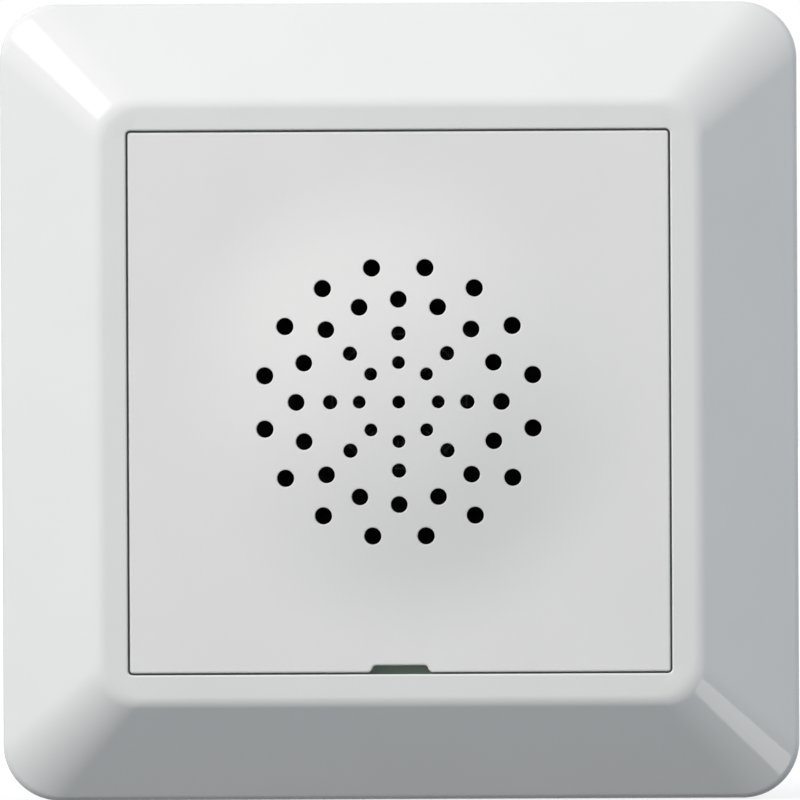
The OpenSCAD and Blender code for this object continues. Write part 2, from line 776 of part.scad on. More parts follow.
// Ridges on the left and right sides, standing out from a half width
module catch_rows(half, out, level) {
  for (turn = [0, 180], arm = sides)
    rotate(turn) translate([half, arm * arm_pitch / 2 + arm_w / 2, level]) rotate([90, 0, 0])
      linear_extrude(arm_w)
        polygon([[0, -catch_h / 2], [out, -catch_h / 6], [out, catch_h / 6], [0, catch_h / 2],
          [-sign(out) * overcut / 2, catch_h / 2], [-sign(out) * overcut / 2, -catch_h / 2]]);
}

module support_ring() {
  color("silver") on_wall() difference() {
    square_block(support_w / 2, support_corner_r, 0, support_t);
    disc(cup_inner_r, -overcut, support_t + overcut);
    for (turn = quarter_turns) rotate(turn) {
      translate([box_screw_r, 0, 0]) disc(seat_hole_d / 2, -overcut, support_t + overcut);
      rotate(head_turn) translate([box_screw_r, 0, 0]) disc(head_hole_d / 2, -overcut, support_t + overcut);
      rotate_extrude(angle = head_turn)
        translate([box_screw_r - neck_slot_w / 2, -overcut]) square([neck_slot_w, support_t + 2 * overcut]);
      translate([corner_hole_at, corner_hole_at, 0])
        disc(corner_hole_d / 2, -overcut, support_t + overcut);
      translate([support_w / 2, 0, 0]) disc(side_notch_d / 2, -overcut, support_t + overcut);
    }
  }
}

module front_carrier() {
  color("gainsboro") on_wall() difference() {
    union() {
      difference() {
        carrier_shell();
        square_block(tower_half - tower_wall, tower_corner_r, deck_top, tower_top + overcut);
        disc(neck_inner_r, -neck_len - overcut, deck_bottom);
      }
      for (x = sides) translate([x * long_boss_x, 0, 0]) disc(long_boss_r, board_front, flange_top);
      at_retainer_screws() disc(screw_boss_r, ear_seat - retainer_screw_len - screw_boss_wall, deck_top);
      catch_rows(tower_half, catch_out, tower_top - catch_h / 2);
    }
    disc(basket_mouth_r + basket_clear, deck_bottom - overcut, deck_top + overcut);
    at_retainer_screws()
      disc(retainer_screw_d / 2 + thread_clear, ear_seat - retainer_screw_len, deck_top + overcut);
    for (x = sides) {
      translate([x * long_boss_x, 0, 0])
        disc(housing_screw_d / 2 + thread_clear, board_front - overcut, board_front + housing_grip + seat_clear);
      at_control(x) disc(spindle_d / 2 + spindle_clear, deck_bottom - overcut, deck_top + overcut);
    }
  }
}

module carrier_shell() {
  square_block(flange_w / 2, flange_corner_r, support_t, flange_top);
  square_block(tower_half, tower_corner_r, support_t, tower_top);
  disc(neck_r, -neck_len, flange_top);
}

module at_retainer_screws() {
  for (turn = retainer_turns) rotate(turn) translate([retainer_screw_r, 0, 0]) children();
}

module at_control(side) {
  translate([side * control_r * sin(control_angle), control_r * cos(control_angle), 0]) children();
}

module housing_cup() {
  color("dimgray") on_wall() difference() {
    union() {
      at_level(cup_back) rotate_extrude() difference() {
        cup_profile(cup_r, -cup_back, cup_edge_round);
        translate([0, cup_back_t]) cup_profile(cup_inner_r, -cup_back, cup_edge_round - cup_wall / 2);
      }
      for (x = sides) translate([x * long_boss_x, 0, 0])
        disc(cup_boss_r, cup_back + cup_back_t / 2, board_back);
      for (turn = quarter_turns) rotate(turn + 45)
        translate([cup_inner_r - board_rib_w, -board_rib_t / 2, cup_back + cup_back_t / 2])
          cube([board_rib_w + cup_wall / 2, board_rib_t, board_back - cup_back - cup_back_t / 2]);
    }
    for (x = sides) translate([x * long_boss_x, 0, 0]) {
      disc(housing_screw_d / 2 + screw_clear, cup_back - overcut, 0);
      disc(housing_head_d / 2 + screw_clear, cup_back - overcut, screw_seat);
    }
    box([-block_w / 2 - block_gap, -cup_r - overcut, cup_back - overcut],
      [block_w / 2 + block_gap, block_face + block_depth + block_gap, board_back - block_gap]);
  }
}

// Half section of a cup with a rounded bottom edge
module cup_profile(r, h, edge) {
  translate([0, edge]) square([r, h - edge]);
  square([r - edge, h]);
  translate([r - edge, edge]) circle(edge);
}

module housing_screws() {
  color("silver") on_wall() for (x = sides) translate([x * long_boss_x, 0, 0]) difference() {
    union() {
      disc(housing_head_d / 2, screw_seat - housing_head_h, screw_seat);
      disc(housing_screw_d / 2, screw_seat - housing_head_h / 2, board_front + housing_grip);
    }
    at_level(screw_seat - housing_head_h) mirror([0, 0, 1]) cross_slot();
  }
}

module sound_gasket() {
  color("dimgray") on_wall() tube(gasket_r, retainer_mouth_r, retainer_top, gasket_top);
}

module speaker_retainer() {
  color("gainsboro") on_wall() difference() {
    at_level(deck_top) linear_extrude(retainer_top - deck_top) {
      circle(retainer_r);
      at_retainer_screws() circle(ear_r);
    }
    disc(retainer_mouth_r, deck_top - overcut, retainer_top + overcut);
    disc(speaker_r + retainer_clear, deck_top - overcut, rim_top + film_t);
    at_retainer_screws() {
      disc(retainer_screw_d / 2 + screw_clear, deck_top - overcut, retainer_top + overcut);
      disc(retainer_head_d / 2 + screw_clear, ear_seat, retainer_top + overcut);
    }
  }
}

module retainer_screws() {
  color("silver") on_wall() at_retainer_screws() difference() {
    union() {
      disc(retainer_head_d / 2, ear_seat, ear_seat + retainer_head_h);
      disc(retainer_screw_d / 2, ear_seat - retainer_screw_len, ear_seat + retainer_head_h / 2);
    }
    at_level(ear_seat + retainer_head_h) cross_slot();
  }
}

module speaker_basket() {
  bore_r = yoke_r + seat_clear;
  color("darkgray") on_wall() difference() {
    rotate_extrude() polygon([
      [bore_r, basket_floor], [basket_floor_r, basket_floor], [basket_mouth_r, deck_top],
      [speaker_r, deck_top], [speaker_r, rim_top], [basket_mouth_r - basket_t, rim_top],
      [basket_floor_r - basket_t, basket_floor + basket_t], [bore_r, basket_floor + basket_t]
    ]);
    for (turn = quarter_turns) rotate(turn + 45 - basket_window / 2)
      rotate_extrude(angle = basket_window)
        translate([basket_floor_r - basket_t, basket_floor + 2 * basket_t])
          square([basket_mouth_r - basket_floor_r + basket_t, deck_top - basket_floor - 3 * basket_t]);
  }
}

module speaker_yoke() {
  color("slategray") on_wall() rotate_extrude() difference() {
    union() {
      translate([0, yoke_back]) square([yoke_r, basket_floor + basket_t - yoke_back]);
      translate([0, basket_floor - yoke_shoulder]) square([yoke_r + yoke_shoulder, yoke_shoulder]);
    }
    translate([0, magnet_back]) square([yoke_inner_r, basket_floor + overcut - magnet_back]);
  }
}

module speaker_magnet() {
  color("darkslategray") on_wall() disc(magnet_r, magnet_back, pole_back);
}

module pole_plate() {
  color("slategray") on_wall() disc(pole_r, pole_back, pole_back + pole_t);
}

module coil_former() {
  color("tan") on_wall() tube(dome_r, former_r, winding_back, dome_foot);
}

module voice_coil() {
  color("peru") on_wall() tube(winding_r, dome_r, winding_back, winding_back + winding_len);
}

module diaphragm() {
  color("lightgray") on_wall() rotate_extrude() {
    intersection() {
      translate([0, dome_foot + dome_h - dome_ball_r]) difference() {
        circle(dome_ball_r + film_t);
        circle(dome_ball_r);
      }
      translate([0, dome_foot]) square([dome_r, dome_h + film_t]);
    }
    polygon([
      [former_r, dome_foot], [dome_r, dome_foot], [diaphragm_r, rim_top],
      [diaphragm_r, rim_top + film_t], [dome_r, dome_foot + 1.5 * film_t], [former_r, dome_foot + 1.5 * film_t]
    ]);
  }
}

module surround() {
  inner_r = diaphragm_r + seat_clear;
  color("lightgray") on_wall() rotate_extrude() {
    intersection() {
      translate([inner_r + roll_r, rim_top]) difference() {
        circle(roll_r);
        circle(roll_r - film_t);
      }
      translate([inner_r, rim_top]) square([2 * roll_r, roll_r]);
    }
    translate([inner_r + 2 * roll_r - film_t, rim_top])
      square([speaker_r - inner_r - 2 * roll_r + film_t, film_t]);
  }
}

module tag_board() {
  color("saddlebrown") on_wall()
    box([-tag_board_w / 2, tag_board_y, tag_top], [tag_board_w / 2, tag_board_y + tag_board_len, basket_floor]);
}

module solder_tags() {
  color("goldenrod") on_wall() for (x = sides)
    box([x * tag_pitch / 2 - tag_w / 2, tag_board_y - tag_w, tag_back],
      [x * tag_pitch / 2 + tag_w / 2, tag_board_y + tag_board_len - tag_w / 2, tag_top]);
}

module speaker_leads() {
  color("firebrick") on_wall() for (x = sides)
    loft([for (i = [0:lead_steps]) lead_ring(x * tag_pitch / 2, i / lead_steps)]);
}

module circuit_board() {
  color("darkgreen") on_wall() difference() {
    disc(board_r, board_back, board_front);
    for (x = sides) translate([x * long_boss_x, 0, 0])
      disc(housing_screw_d / 2 + screw_clear, board_back - overcut, board_front + overcut);
    for (pole = poles) translate([pole * pole_pitch, bar_pin_y + bar_t / 2, 0])
      disc(bar_w / 2 + bar_gap / 2, board_back - overcut, board_front + overcut);
  }
}

// Moulded chip with two rows of pins that stand on the board
module chip(count, length) {
  body_back = board_front + chip_standoff;
  difference() {
    box([-length / 2, -chip_w / 2, body_back], [length / 2, chip_w / 2, body_back + chip_h]);
    translate([-length / 2, 0, 0]) disc(chip_w / 8, body_back + chip_h * 0.7, body_back + chip_h + overcut);
  }
  for (i = [0:count - 1], row = sides)
    translate([(i - (count - 1) / 2) * chip_pitch, row * pin_row_pitch / 2, 0]) chip_pin(row, body_back);
}

// Pin that leaves the side of the body and turns down to the board
module chip_pin(row, body_back) {
  pin_t = chip_w / 24;
  reach = (pin_row_pitch - chip_w) / 2 + pin_t;
  rotate(row > 0 ? 180 : 0) translate([-chip_pitch / 6, 0, 0]) {
    box([0, -pin_t / 2, board_front], [chip_pitch / 3, pin_t / 2, body_back + chip_h / 2]);
    box([0, -pin_t / 2, body_back + chip_h / 2 - pin_t], [chip_pitch / 3, reach, body_back + chip_h / 2]);
  }
}

module chime_chip() {
  color("dimgray") on_wall() translate([0, chime_chip_y, 0]) chip(chime_pins, chime_len);
}

module amplifier_chip() {
  color("dimgray") on_wall() translate([0, upper_row_y, 0]) chip(amplifier_pins, amplifier_len);
}

module bridge_rectifier() {
  color("dimgray") on_wall() translate([free_x - bridge_len / 2, upper_row_y, 0]) chip(2, bridge_len);
}

// Can with a sealed foot and a rolled groove
module can(d, h) {
  groove = d / 20;
  difference() {
    disc(d / 2, board_front, board_front + h);
    at_level(board_front + h / 6) rotate_extrude() translate([d / 2, 0]) circle(groove);
  }
}

module smoothing_capacitor() {
  color("steelblue") on_wall() translate(smoothing_at) can(smoothing_d, smoothing_h);
}

module coupling_capacitors() {
  color("steelblue") on_wall() for (i = [0, 1])
    translate(coupling_at - [0, i * (coupling_d + part_gap)]) can(coupling_d, coupling_h);
}

module film_capacitors() {
  color("firebrick") on_wall() for (i = [0, 1])
    translate([film_cap_at[0], film_cap_at[1] - i * film_cap_pitch, board_front])
      cube([film_cap_len, film_cap_t, film_cap_h]);
}

module resistors() {
  middle = board_front + resistor_d / 2;
  color("tan") on_wall() for (i = [0:resistor_count - 1])
    translate(resistor_at - [0, i * resistor_pitch]) {
      at_level(middle) rotate([0, 90, 0]) {
        cylinder(d = resistor_d, h = resistor_len, center = true);
        cylinder(d = resistor_wire_d, h = resistor_span, center = true);
      }
      for (x = sides) translate([x * resistor_span / 2, 0, 0])
        disc(resistor_wire_d / 2, board_front, middle + resistor_wire_d / 2);
    }
}

module trimmer_bodies() {
  color("royalblue") on_wall() for (x = sides) at_control(x) difference() {
    disc(trimmer_d / 2, board_front, board_front + trimmer_h);
    disc(spindle_plug_d / 2 + spindle_clear, board_front + trimmer_h - spindle_plug_len - seat_clear,
      board_front + trimmer_h + overcut);
  }
}

// Long spindle from the trimmer up through the deck, slotted for a screwdriver
module spindle(side) {
  foot = board_front + trimmer_h + seat_clear;
  head = deck_top + seat_clear;
  on_wall() at_control(side) difference() {
    union() {
      disc(spindle_plug_d / 2, foot - spindle_plug_len, foot + seat_clear);
      disc(spindle_d / 2, foot, head + spindle_head_h / 2);
      disc(spindle_head_d / 2, head, head + spindle_head_h);
    }
    translate([-spindle_head_d / 2 - overcut, -driver_slot_w / 2, head + spindle_head_h - driver_slot_depth])
      cube([spindle_head_d + 2 * overcut, driver_slot_w, driver_slot_depth + overcut]);
  }
}

module volume_spindle() {
  color("whitesmoke") spindle(-1);
}

module tone_spindle() {
  color("whitesmoke") spindle(1);
}

module terminal_block() {
  color("seagreen") on_wall() difference() {
    box([-block_w / 2, block_face, block_back], [block_w / 2, block_face + block_depth, board_back]);
    for (pole = poles) translate([pole * pole_pitch, 0, 0]) chamber();
  }
}

// Room of one pole: cage chamber, wire window, screw hole and the bar's foot
module chamber() {
  chamber_back = head_seat + head_shoulder;
  window_half = chamber_w / 2 - cage_clear - cage_wall;
  box([-chamber_w / 2, chamber_start, chamber_back],
    [chamber_w / 2, chamber_start + chamber_len, board_back - chamber_floor]);
  box([-window_half, block_face - overcut, bar_back + bar_t],
    [window_half, chamber_start + overcut, board_back - chamber_floor - cage_clear - cage_wall]);
  translate([0, terminal_y, 0]) {
    disc(terminal_screw_d / 2 + screw_clear, block_back - overcut, chamber_back + overcut);
    disc(terminal_head_d / 2 + screw_clear, block_back - overcut, head_seat);
  }
  box([-bar_w / 2 - seat_clear, bar_pin_y - seat_clear, board_back - chamber_floor - overcut],
    [bar_w / 2 + seat_clear, bar_pin_y + bar_t + seat_clear, board_back + overcut]);
}

module terminal_bars() {
  color("goldenrod") on_wall() for (pole = poles) translate([pole * pole_pitch, 0, 0]) {
    box([-bar_w / 2, chamber_start + cage_clear, bar_back], [bar_w / 2, bar_pin_y + bar_t, bar_back + bar_t]);
    box([-bar_w / 2, bar_pin_y, bar_back], [bar_w / 2, bar_pin_y + bar_t, board_back - chamber_floor / 2]);
    box([-bar_w / 4, bar_pin_y, bar_back], [bar_w / 4, bar_pin_y + bar_t, board_front + pin_out]);
  }
}

module terminal_screw(pole) {
  color("silver") on_wall() translate([pole * pole_pitch, terminal_y, 0]) difference() {
    union() {
      disc(terminal_head_d / 2, head_seat - seat_clear - terminal_head_h, head_seat - seat_clear);
      disc(terminal_screw_d / 2, head_seat - terminal_head_h / 2, bar_back - bar_gap);
    }
    translate([-terminal_head_d / 2 - overcut, -driver_slot_w / 2,
      head_seat - seat_clear - terminal_head_h - overcut])
      cube([terminal_head_d + 2 * overcut, driver_slot_w, driver_slot_depth + overcut]);
  }
}

// Rising clamp: a square loop round the bar and the wire, with the thread in its back wall
module terminal_cage(pole) {
  half = chamber_w / 2 - cage_clear;
  color("lightsteelblue") on_wall() translate([pole * pole_pitch, terminal_y, 0]) difference() {
    box([-half, -cage_len / 2, cage_back], [half, cage_len / 2, cage_back + cage_h]);
    box([cage_wall - half, -cage_len / 2 - overcut, cage_back + cage_nut_t],
      [half - cage_wall, cage_len / 2 + overcut, cage_back + cage_h - cage_wall]);
    disc(terminal_screw_d / 2 + seat_clear, cage_back - overcut, cage_back + cage_nut_t + overcut);
  }
}

cover_frame();
centre_plate();
support_ring();
front_carrier();
housing_cup();
housing_screws();
sound_gasket();
speaker_retainer();
retainer_screws();
speaker_basket();
speaker_yoke();
speaker_magnet();
pole_plate();
coil_former();
voice_coil();
diaphragm();
surround();
tag_board();
solder_tags();
speaker_leads();
circuit_board();
chime_chip();
amplifier_chip();
bridge_rectifier();
smoothing_capacitor();
coupling_capacitors();
film_capacitors();
resistors();
trimmer_bodies();
volume_spindle();
tone_spindle();
terminal_block();
terminal_bars();
terminal_screw(poles[0]);  // terminal_screw_1
terminal_screw(poles[1]);  // terminal_screw_2
terminal_screw(poles[2]);  // terminal_screw_3
terminal_cage(poles[0]);  // terminal_cage_1
terminal_cage(poles[1]);  // terminal_cage_2
terminal_cage(poles[2]);  // terminal_cage_3
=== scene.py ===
import math

import bmesh
import bpy
import numpy as np
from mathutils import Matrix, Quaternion, Vector
from mathutils.geometry import delaunay_2d_cdt


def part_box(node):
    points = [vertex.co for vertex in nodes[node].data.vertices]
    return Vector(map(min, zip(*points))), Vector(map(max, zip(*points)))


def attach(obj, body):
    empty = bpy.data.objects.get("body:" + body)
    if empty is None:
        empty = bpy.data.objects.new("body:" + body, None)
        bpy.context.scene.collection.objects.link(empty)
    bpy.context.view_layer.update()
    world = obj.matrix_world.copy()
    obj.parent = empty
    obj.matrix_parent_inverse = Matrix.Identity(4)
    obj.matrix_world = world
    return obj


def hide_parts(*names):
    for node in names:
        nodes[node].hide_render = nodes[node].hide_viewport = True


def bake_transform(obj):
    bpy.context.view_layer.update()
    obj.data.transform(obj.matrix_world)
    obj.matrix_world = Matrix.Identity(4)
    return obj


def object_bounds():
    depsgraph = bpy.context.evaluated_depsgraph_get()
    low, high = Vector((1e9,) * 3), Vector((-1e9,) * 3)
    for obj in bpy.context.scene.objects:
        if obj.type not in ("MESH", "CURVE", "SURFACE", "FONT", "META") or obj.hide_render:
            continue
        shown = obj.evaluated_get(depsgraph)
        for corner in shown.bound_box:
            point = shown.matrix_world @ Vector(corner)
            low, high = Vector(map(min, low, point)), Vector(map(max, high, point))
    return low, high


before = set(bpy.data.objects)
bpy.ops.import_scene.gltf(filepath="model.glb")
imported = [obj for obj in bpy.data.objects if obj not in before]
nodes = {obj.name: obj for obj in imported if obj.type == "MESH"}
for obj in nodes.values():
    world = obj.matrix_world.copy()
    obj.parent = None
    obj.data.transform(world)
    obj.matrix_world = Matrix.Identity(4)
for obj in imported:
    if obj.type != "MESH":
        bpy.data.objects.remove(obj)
cadLow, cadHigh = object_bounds()  # box of the bare solids
scene = bpy.context.scene
mm = 0.001
mergeWithin = 1e-7  # metres; closer points are one
bothWays = np.array([-1, 1])  # for mirrored pairs
print("frame loaded,", len(nodes), "solids")


# Plan sizes are mm with x to the right, y up and z out of the wall: the row frame is (x, -z, y).
def rowPoints(x, y, z):
    x, y, z = np.broadcast_arrays(x, y, z)
    return np.stack([x, -z, y], axis=-1).reshape(-1, 3) * mm


# Quads of a grid whose rows are closed: each cell joins a point, its neighbour and the same two a row on.
def gridQuads(rows, columns, wrapRows=False, first=0):
    r = np.arange(rows if wrapRows else rows - 1)[:, None]
    c = np.arange(columns)[None, :]
    rNext, cNext = (r + 1) % rows, (c + 1) % columns
    corners = (r * columns + c, r * columns + cNext, rNext * columns + cNext, rNext * columns + c)
    return first + np.stack(np.broadcast_arrays(*corners), axis=-1).reshape(-1, 4)


# Faces of bars that share an outline: two end rings of count points each, joined by quads and closed.
def barFaces(bars, count, first):
    starts = first + np.arange(bars)[:, None, None] * 2 * count
    ends = np.arange(2 * count).reshape(2, count)
    return [(starts + gridQuads(2, count)).reshape(-1, 4), (starts + ends).reshape(-1, count)]


# Number of points so far, which is the place of the next one.
def countOf(points):
    return sum(len(p) for p in points)


# Even angles round a full turn.
def fullTurn(steps):
    return np.linspace(0, 2 * np.pi, steps, endpoint=False)


# Points of a circle about the middle: r * (cos a, sin a).
def circlePoints(r, a):
    return np.stack([r * np.cos(a), r * np.sin(a)], axis=-1)


# Points of an arc in a plane: middle + r * (cos a, sin a) from one angle to another, in degrees.
def arcPoints(middle, r, fromDeg, toDeg, steps):
    a = np.radians(np.linspace(fromDeg, toDeg, steps + 1))
    return np.asarray(middle) + circlePoints(r, a)


# Walk round a rounded square. Each point is half * reach + r * turn + along, so one walk serves every
# half width and corner radius; marks are the stops on the sides, right, top, left and bottom.
def squareWalk(marks, cornerSteps):
    reach, turn, along = [], [], []
    for quarter, stops in zip((0, 90, 180, 270), marks):
        c, s = round(math.cos(math.radians(quarter))), round(math.sin(math.radians(quarter)))
        stops = np.asarray(stops, float)
        reach.append(np.tile([c, s], (len(stops), 1)))
        turn.append(np.zeros((len(stops), 2)))
        along.append(stops[:, None] * [-s, c])
        swing = arcPoints((0, 0), 1.0, quarter, quarter + 90, cornerSteps)
        reach.append(np.tile([c - s, s + c], (len(swing), 1)))
        turn.append(swing - [c - s, s + c])
        along.append(np.zeros_like(swing))
    return [np.concatenate(part).astype(float) for part in (reach, turn, along)]


# Rings of a walk: one for each half width and corner radius, as rows x points x 2.
def squareRings(walk, half, r):
    reach, turn, along = walk
    half, r = np.asarray(half, float)[:, None, None], np.asarray(r, float)[:, None, None]
    return half * reach + r * turn + along


# Piece from whole arrays: doubles are merged, faces turned outwards and steep edges kept sharp.
def makePiece(name, points, faces, sharpDeg=40, evenFaces=True):
    mesh = bpy.data.meshes.new(name)
    mesh.from_pydata(points.tolist(), [], [f for part in faces for f in part.tolist()])
    work = bmesh.new()
    work.from_mesh(mesh)
    bmesh.ops.remove_doubles(work, verts=work.verts, dist=mergeWithin)
    bmesh.ops.recalc_face_normals(work, faces=work.faces)
    work.to_mesh(mesh)
    work.free()
    mesh.shade_smooth()
    mesh.set_sharp_from_angle(angle=math.radians(sharpDeg))
    # triangles are broad sheets only: a sheet keeps its own normals up to its border
    sides, edgeOf = np.empty(len(mesh.polygons), np.int32), np.empty(len(mesh.loops), np.int32)
    mesh.polygons.foreach_get("loop_total", sides)
    mesh.loops.foreach_get("edge_index", edgeOf)
    inSheet = np.repeat(sides == 3, sides)
    sharp = np.empty(len(mesh.edges), bool)
    mesh.edges.foreach_get("use_edge_sharp", sharp)
    sharp[np.intersect1d(edgeOf[inSheet], edgeOf[~inSheet])] = True
    mesh.edges.foreach_set("use_edge_sharp", sharp)
    piece = bpy.data.objects.new(name, mesh)
    scene.collection.objects.link(piece)
    if evenFaces:
        flat = piece.modifiers.new("flatFaces", "WEIGHTED_NORMAL")  # broad faces keep their own normal
        flat.keep_sharp = True
    return piece


# Camera: the photograph looks almost square on from far away, with the object turned a little.
camera = dict(lens=1000.0, sensor=36.0, viewMm=81.44, centreX=0.0, centreZ=0.1, offX=24.0, offZ=22.0,
              rollDeg=0.27, near=0.05, far=20)
cam = bpy.data.objects.new("camera", bpy.data.cameras.new("camera"))
scene.collection.objects.link(cam)
cam.data.lens, cam.data.sensor_width = camera["lens"], camera["sensor"]
distance = camera["viewMm"] * mm * camera["lens"] / camera["sensor"]
aim = Vector((camera["centreX"], 0, camera["centreZ"])) * mm
cam.location = aim + Vector((camera["offX"] * mm, -distance, camera["offZ"] * mm))
level = (aim - cam.location).to_track_quat("-Z", "Y")
cam.rotation_euler = (level @ Quaternion((0, 0, 1), -math.radians(camera["rollDeg"]))).to_euler()
cam.data.clip_start, cam.data.clip_end = camera["near"], camera["far"]
scene.camera = cam
print("camera set")


# Linear colour of an sRGB hex value, weaker or stronger where a pattern needs two tones.
def linearColour(hexCode, strength=1.0):
    share = np.array([int(hexCode[i:i + 2], 16) for i in (1, 3, 5)]) / 255
    linear = np.where(share <= 0.04045, share / 12.92, ((share + 0.055) / 1.055) ** 2.4)
    return (*(linear * strength).tolist(), 1.0)


# Inputs of a node: a socket is linked, anything else is the input's own value.
def setInputs(tree, node, inputs):
    for key, value in inputs.items():
        if isinstance(value, bpy.types.NodeSocket):
            tree.links.new(value, node.inputs[key])
        else:
            node.inputs[key].default_value = value


def addNode(tree, kind, inputs=None, **settings):
    node = tree.nodes.new(kind)
    for key, value in settings.items():
        setattr(node, key, value)
    setInputs(tree, node, inputs or {})
    return node


def startMaterial(name):
    material = bpy.data.materials.new(name)
    material.use_nodes = True
    tree = material.node_tree
    shader = tree.nodes["Principled BSDF"]
    place = tree.nodes.new("ShaderNodeTexCoord").outputs["Object"]
    return material, tree, shader, place


noiseSpan = {"From Min": 0.3, "From Max": 0.7}  # noise hardly leaves this span
faceOn = (math.radians(90), 0, 0)  # turns a flat pattern to the front


# Moulded plastic: an even colour that drifts a little where the melt cooled, over a fine grain and a
# broad waviness; gloss or satin comes from the roughness. The grain is coarser than real, to show.
def mouldedPlastic(name, hexCode, roughness, grainMm, grainDeep, edgeMm=0.0, waveMm=6.0, waveDeep=0.002,
                   cloudMm=14.0, drift=0.03, uneven=0.08):
    material, tree, shader, place = startMaterial(name)
    cloud = addNode(tree, "ShaderNodeTexNoise", {"Vector": place, "Scale": 1 / (cloudMm * mm), "Detail": 2.0})
    shade = addNode(tree, "ShaderNodeMix", {0: cloud.outputs["Fac"], 6: linearColour(hexCode, 1 - drift),
                                            7: linearColour(hexCode, 1 + drift)}, data_type="RGBA")
    grain = addNode(tree, "ShaderNodeTexNoise", {"Vector": place, "Scale": 1 / (grainMm * mm), "Detail": 3.0})
    spread = addNode(tree, "ShaderNodeMapRange", {"Value": grain.outputs["Fac"], **noiseSpan,
                                                  "To Min": roughness * (1 - uneven),
                                                  "To Max": roughness * (1 + uneven)})
    wave = addNode(tree, "ShaderNodeTexNoise", {"Vector": place, "Scale": 1 / (waveMm * mm), "Detail": 1.0})
    low = addNode(tree, "ShaderNodeBump", {"Height": wave.outputs["Fac"], "Strength": 1.0,
                                           "Distance": waveDeep * mm})
    if edgeMm:
        soft = addNode(tree, "ShaderNodeBevel", {"Radius": edgeMm * mm}, samples=4)
        setInputs(tree, low, {"Normal": soft.outputs["Normal"]})
    fine = addNode(tree, "ShaderNodeBump", {"Height": grain.outputs["Fac"], "Strength": 1.0,
                                            "Distance": grainDeep * mm, "Normal": low.outputs["Normal"]})
    setInputs(tree, shader, {"Base Color": shade.outputs[2], "Roughness": spread.outputs["Result"], "IOR": 1.5,
                             "Normal": fine.outputs["Normal"]})
    return material


# Cover frame: a closed section carried round the square. Every point of the section has its own
# inset from the outside, level above the wall and corner radius, so the corners are true cones.
# A rib's bite is how far it reaches into the walls that hold it.
frameShape = dict(width=81.0, height=10.4, cornerR=5.8, edgeHigh=2.2, edgeR=1.3, rimWide=2.2, rimR=2.0,
                  rimCornerR=4.0, aperture=55.2, apertureR=0.5, wall=1.8, collar=1.8, ledgeDeep=3.2,
                  ledgeWide=1.4, ledgeThick=1.6, lipR=0.2, footR=0.2, insideTaper=0.17, insideLeastR=0.9,
                  ribThick=1.2, ribPitch=40.0, ribFoot=1.25, ribRoot=1.0, ribBite=0.1, ribRoofBite=0.05,
                  cornerSteps=28, footSteps=4, bendSteps=14, lipSteps=6)


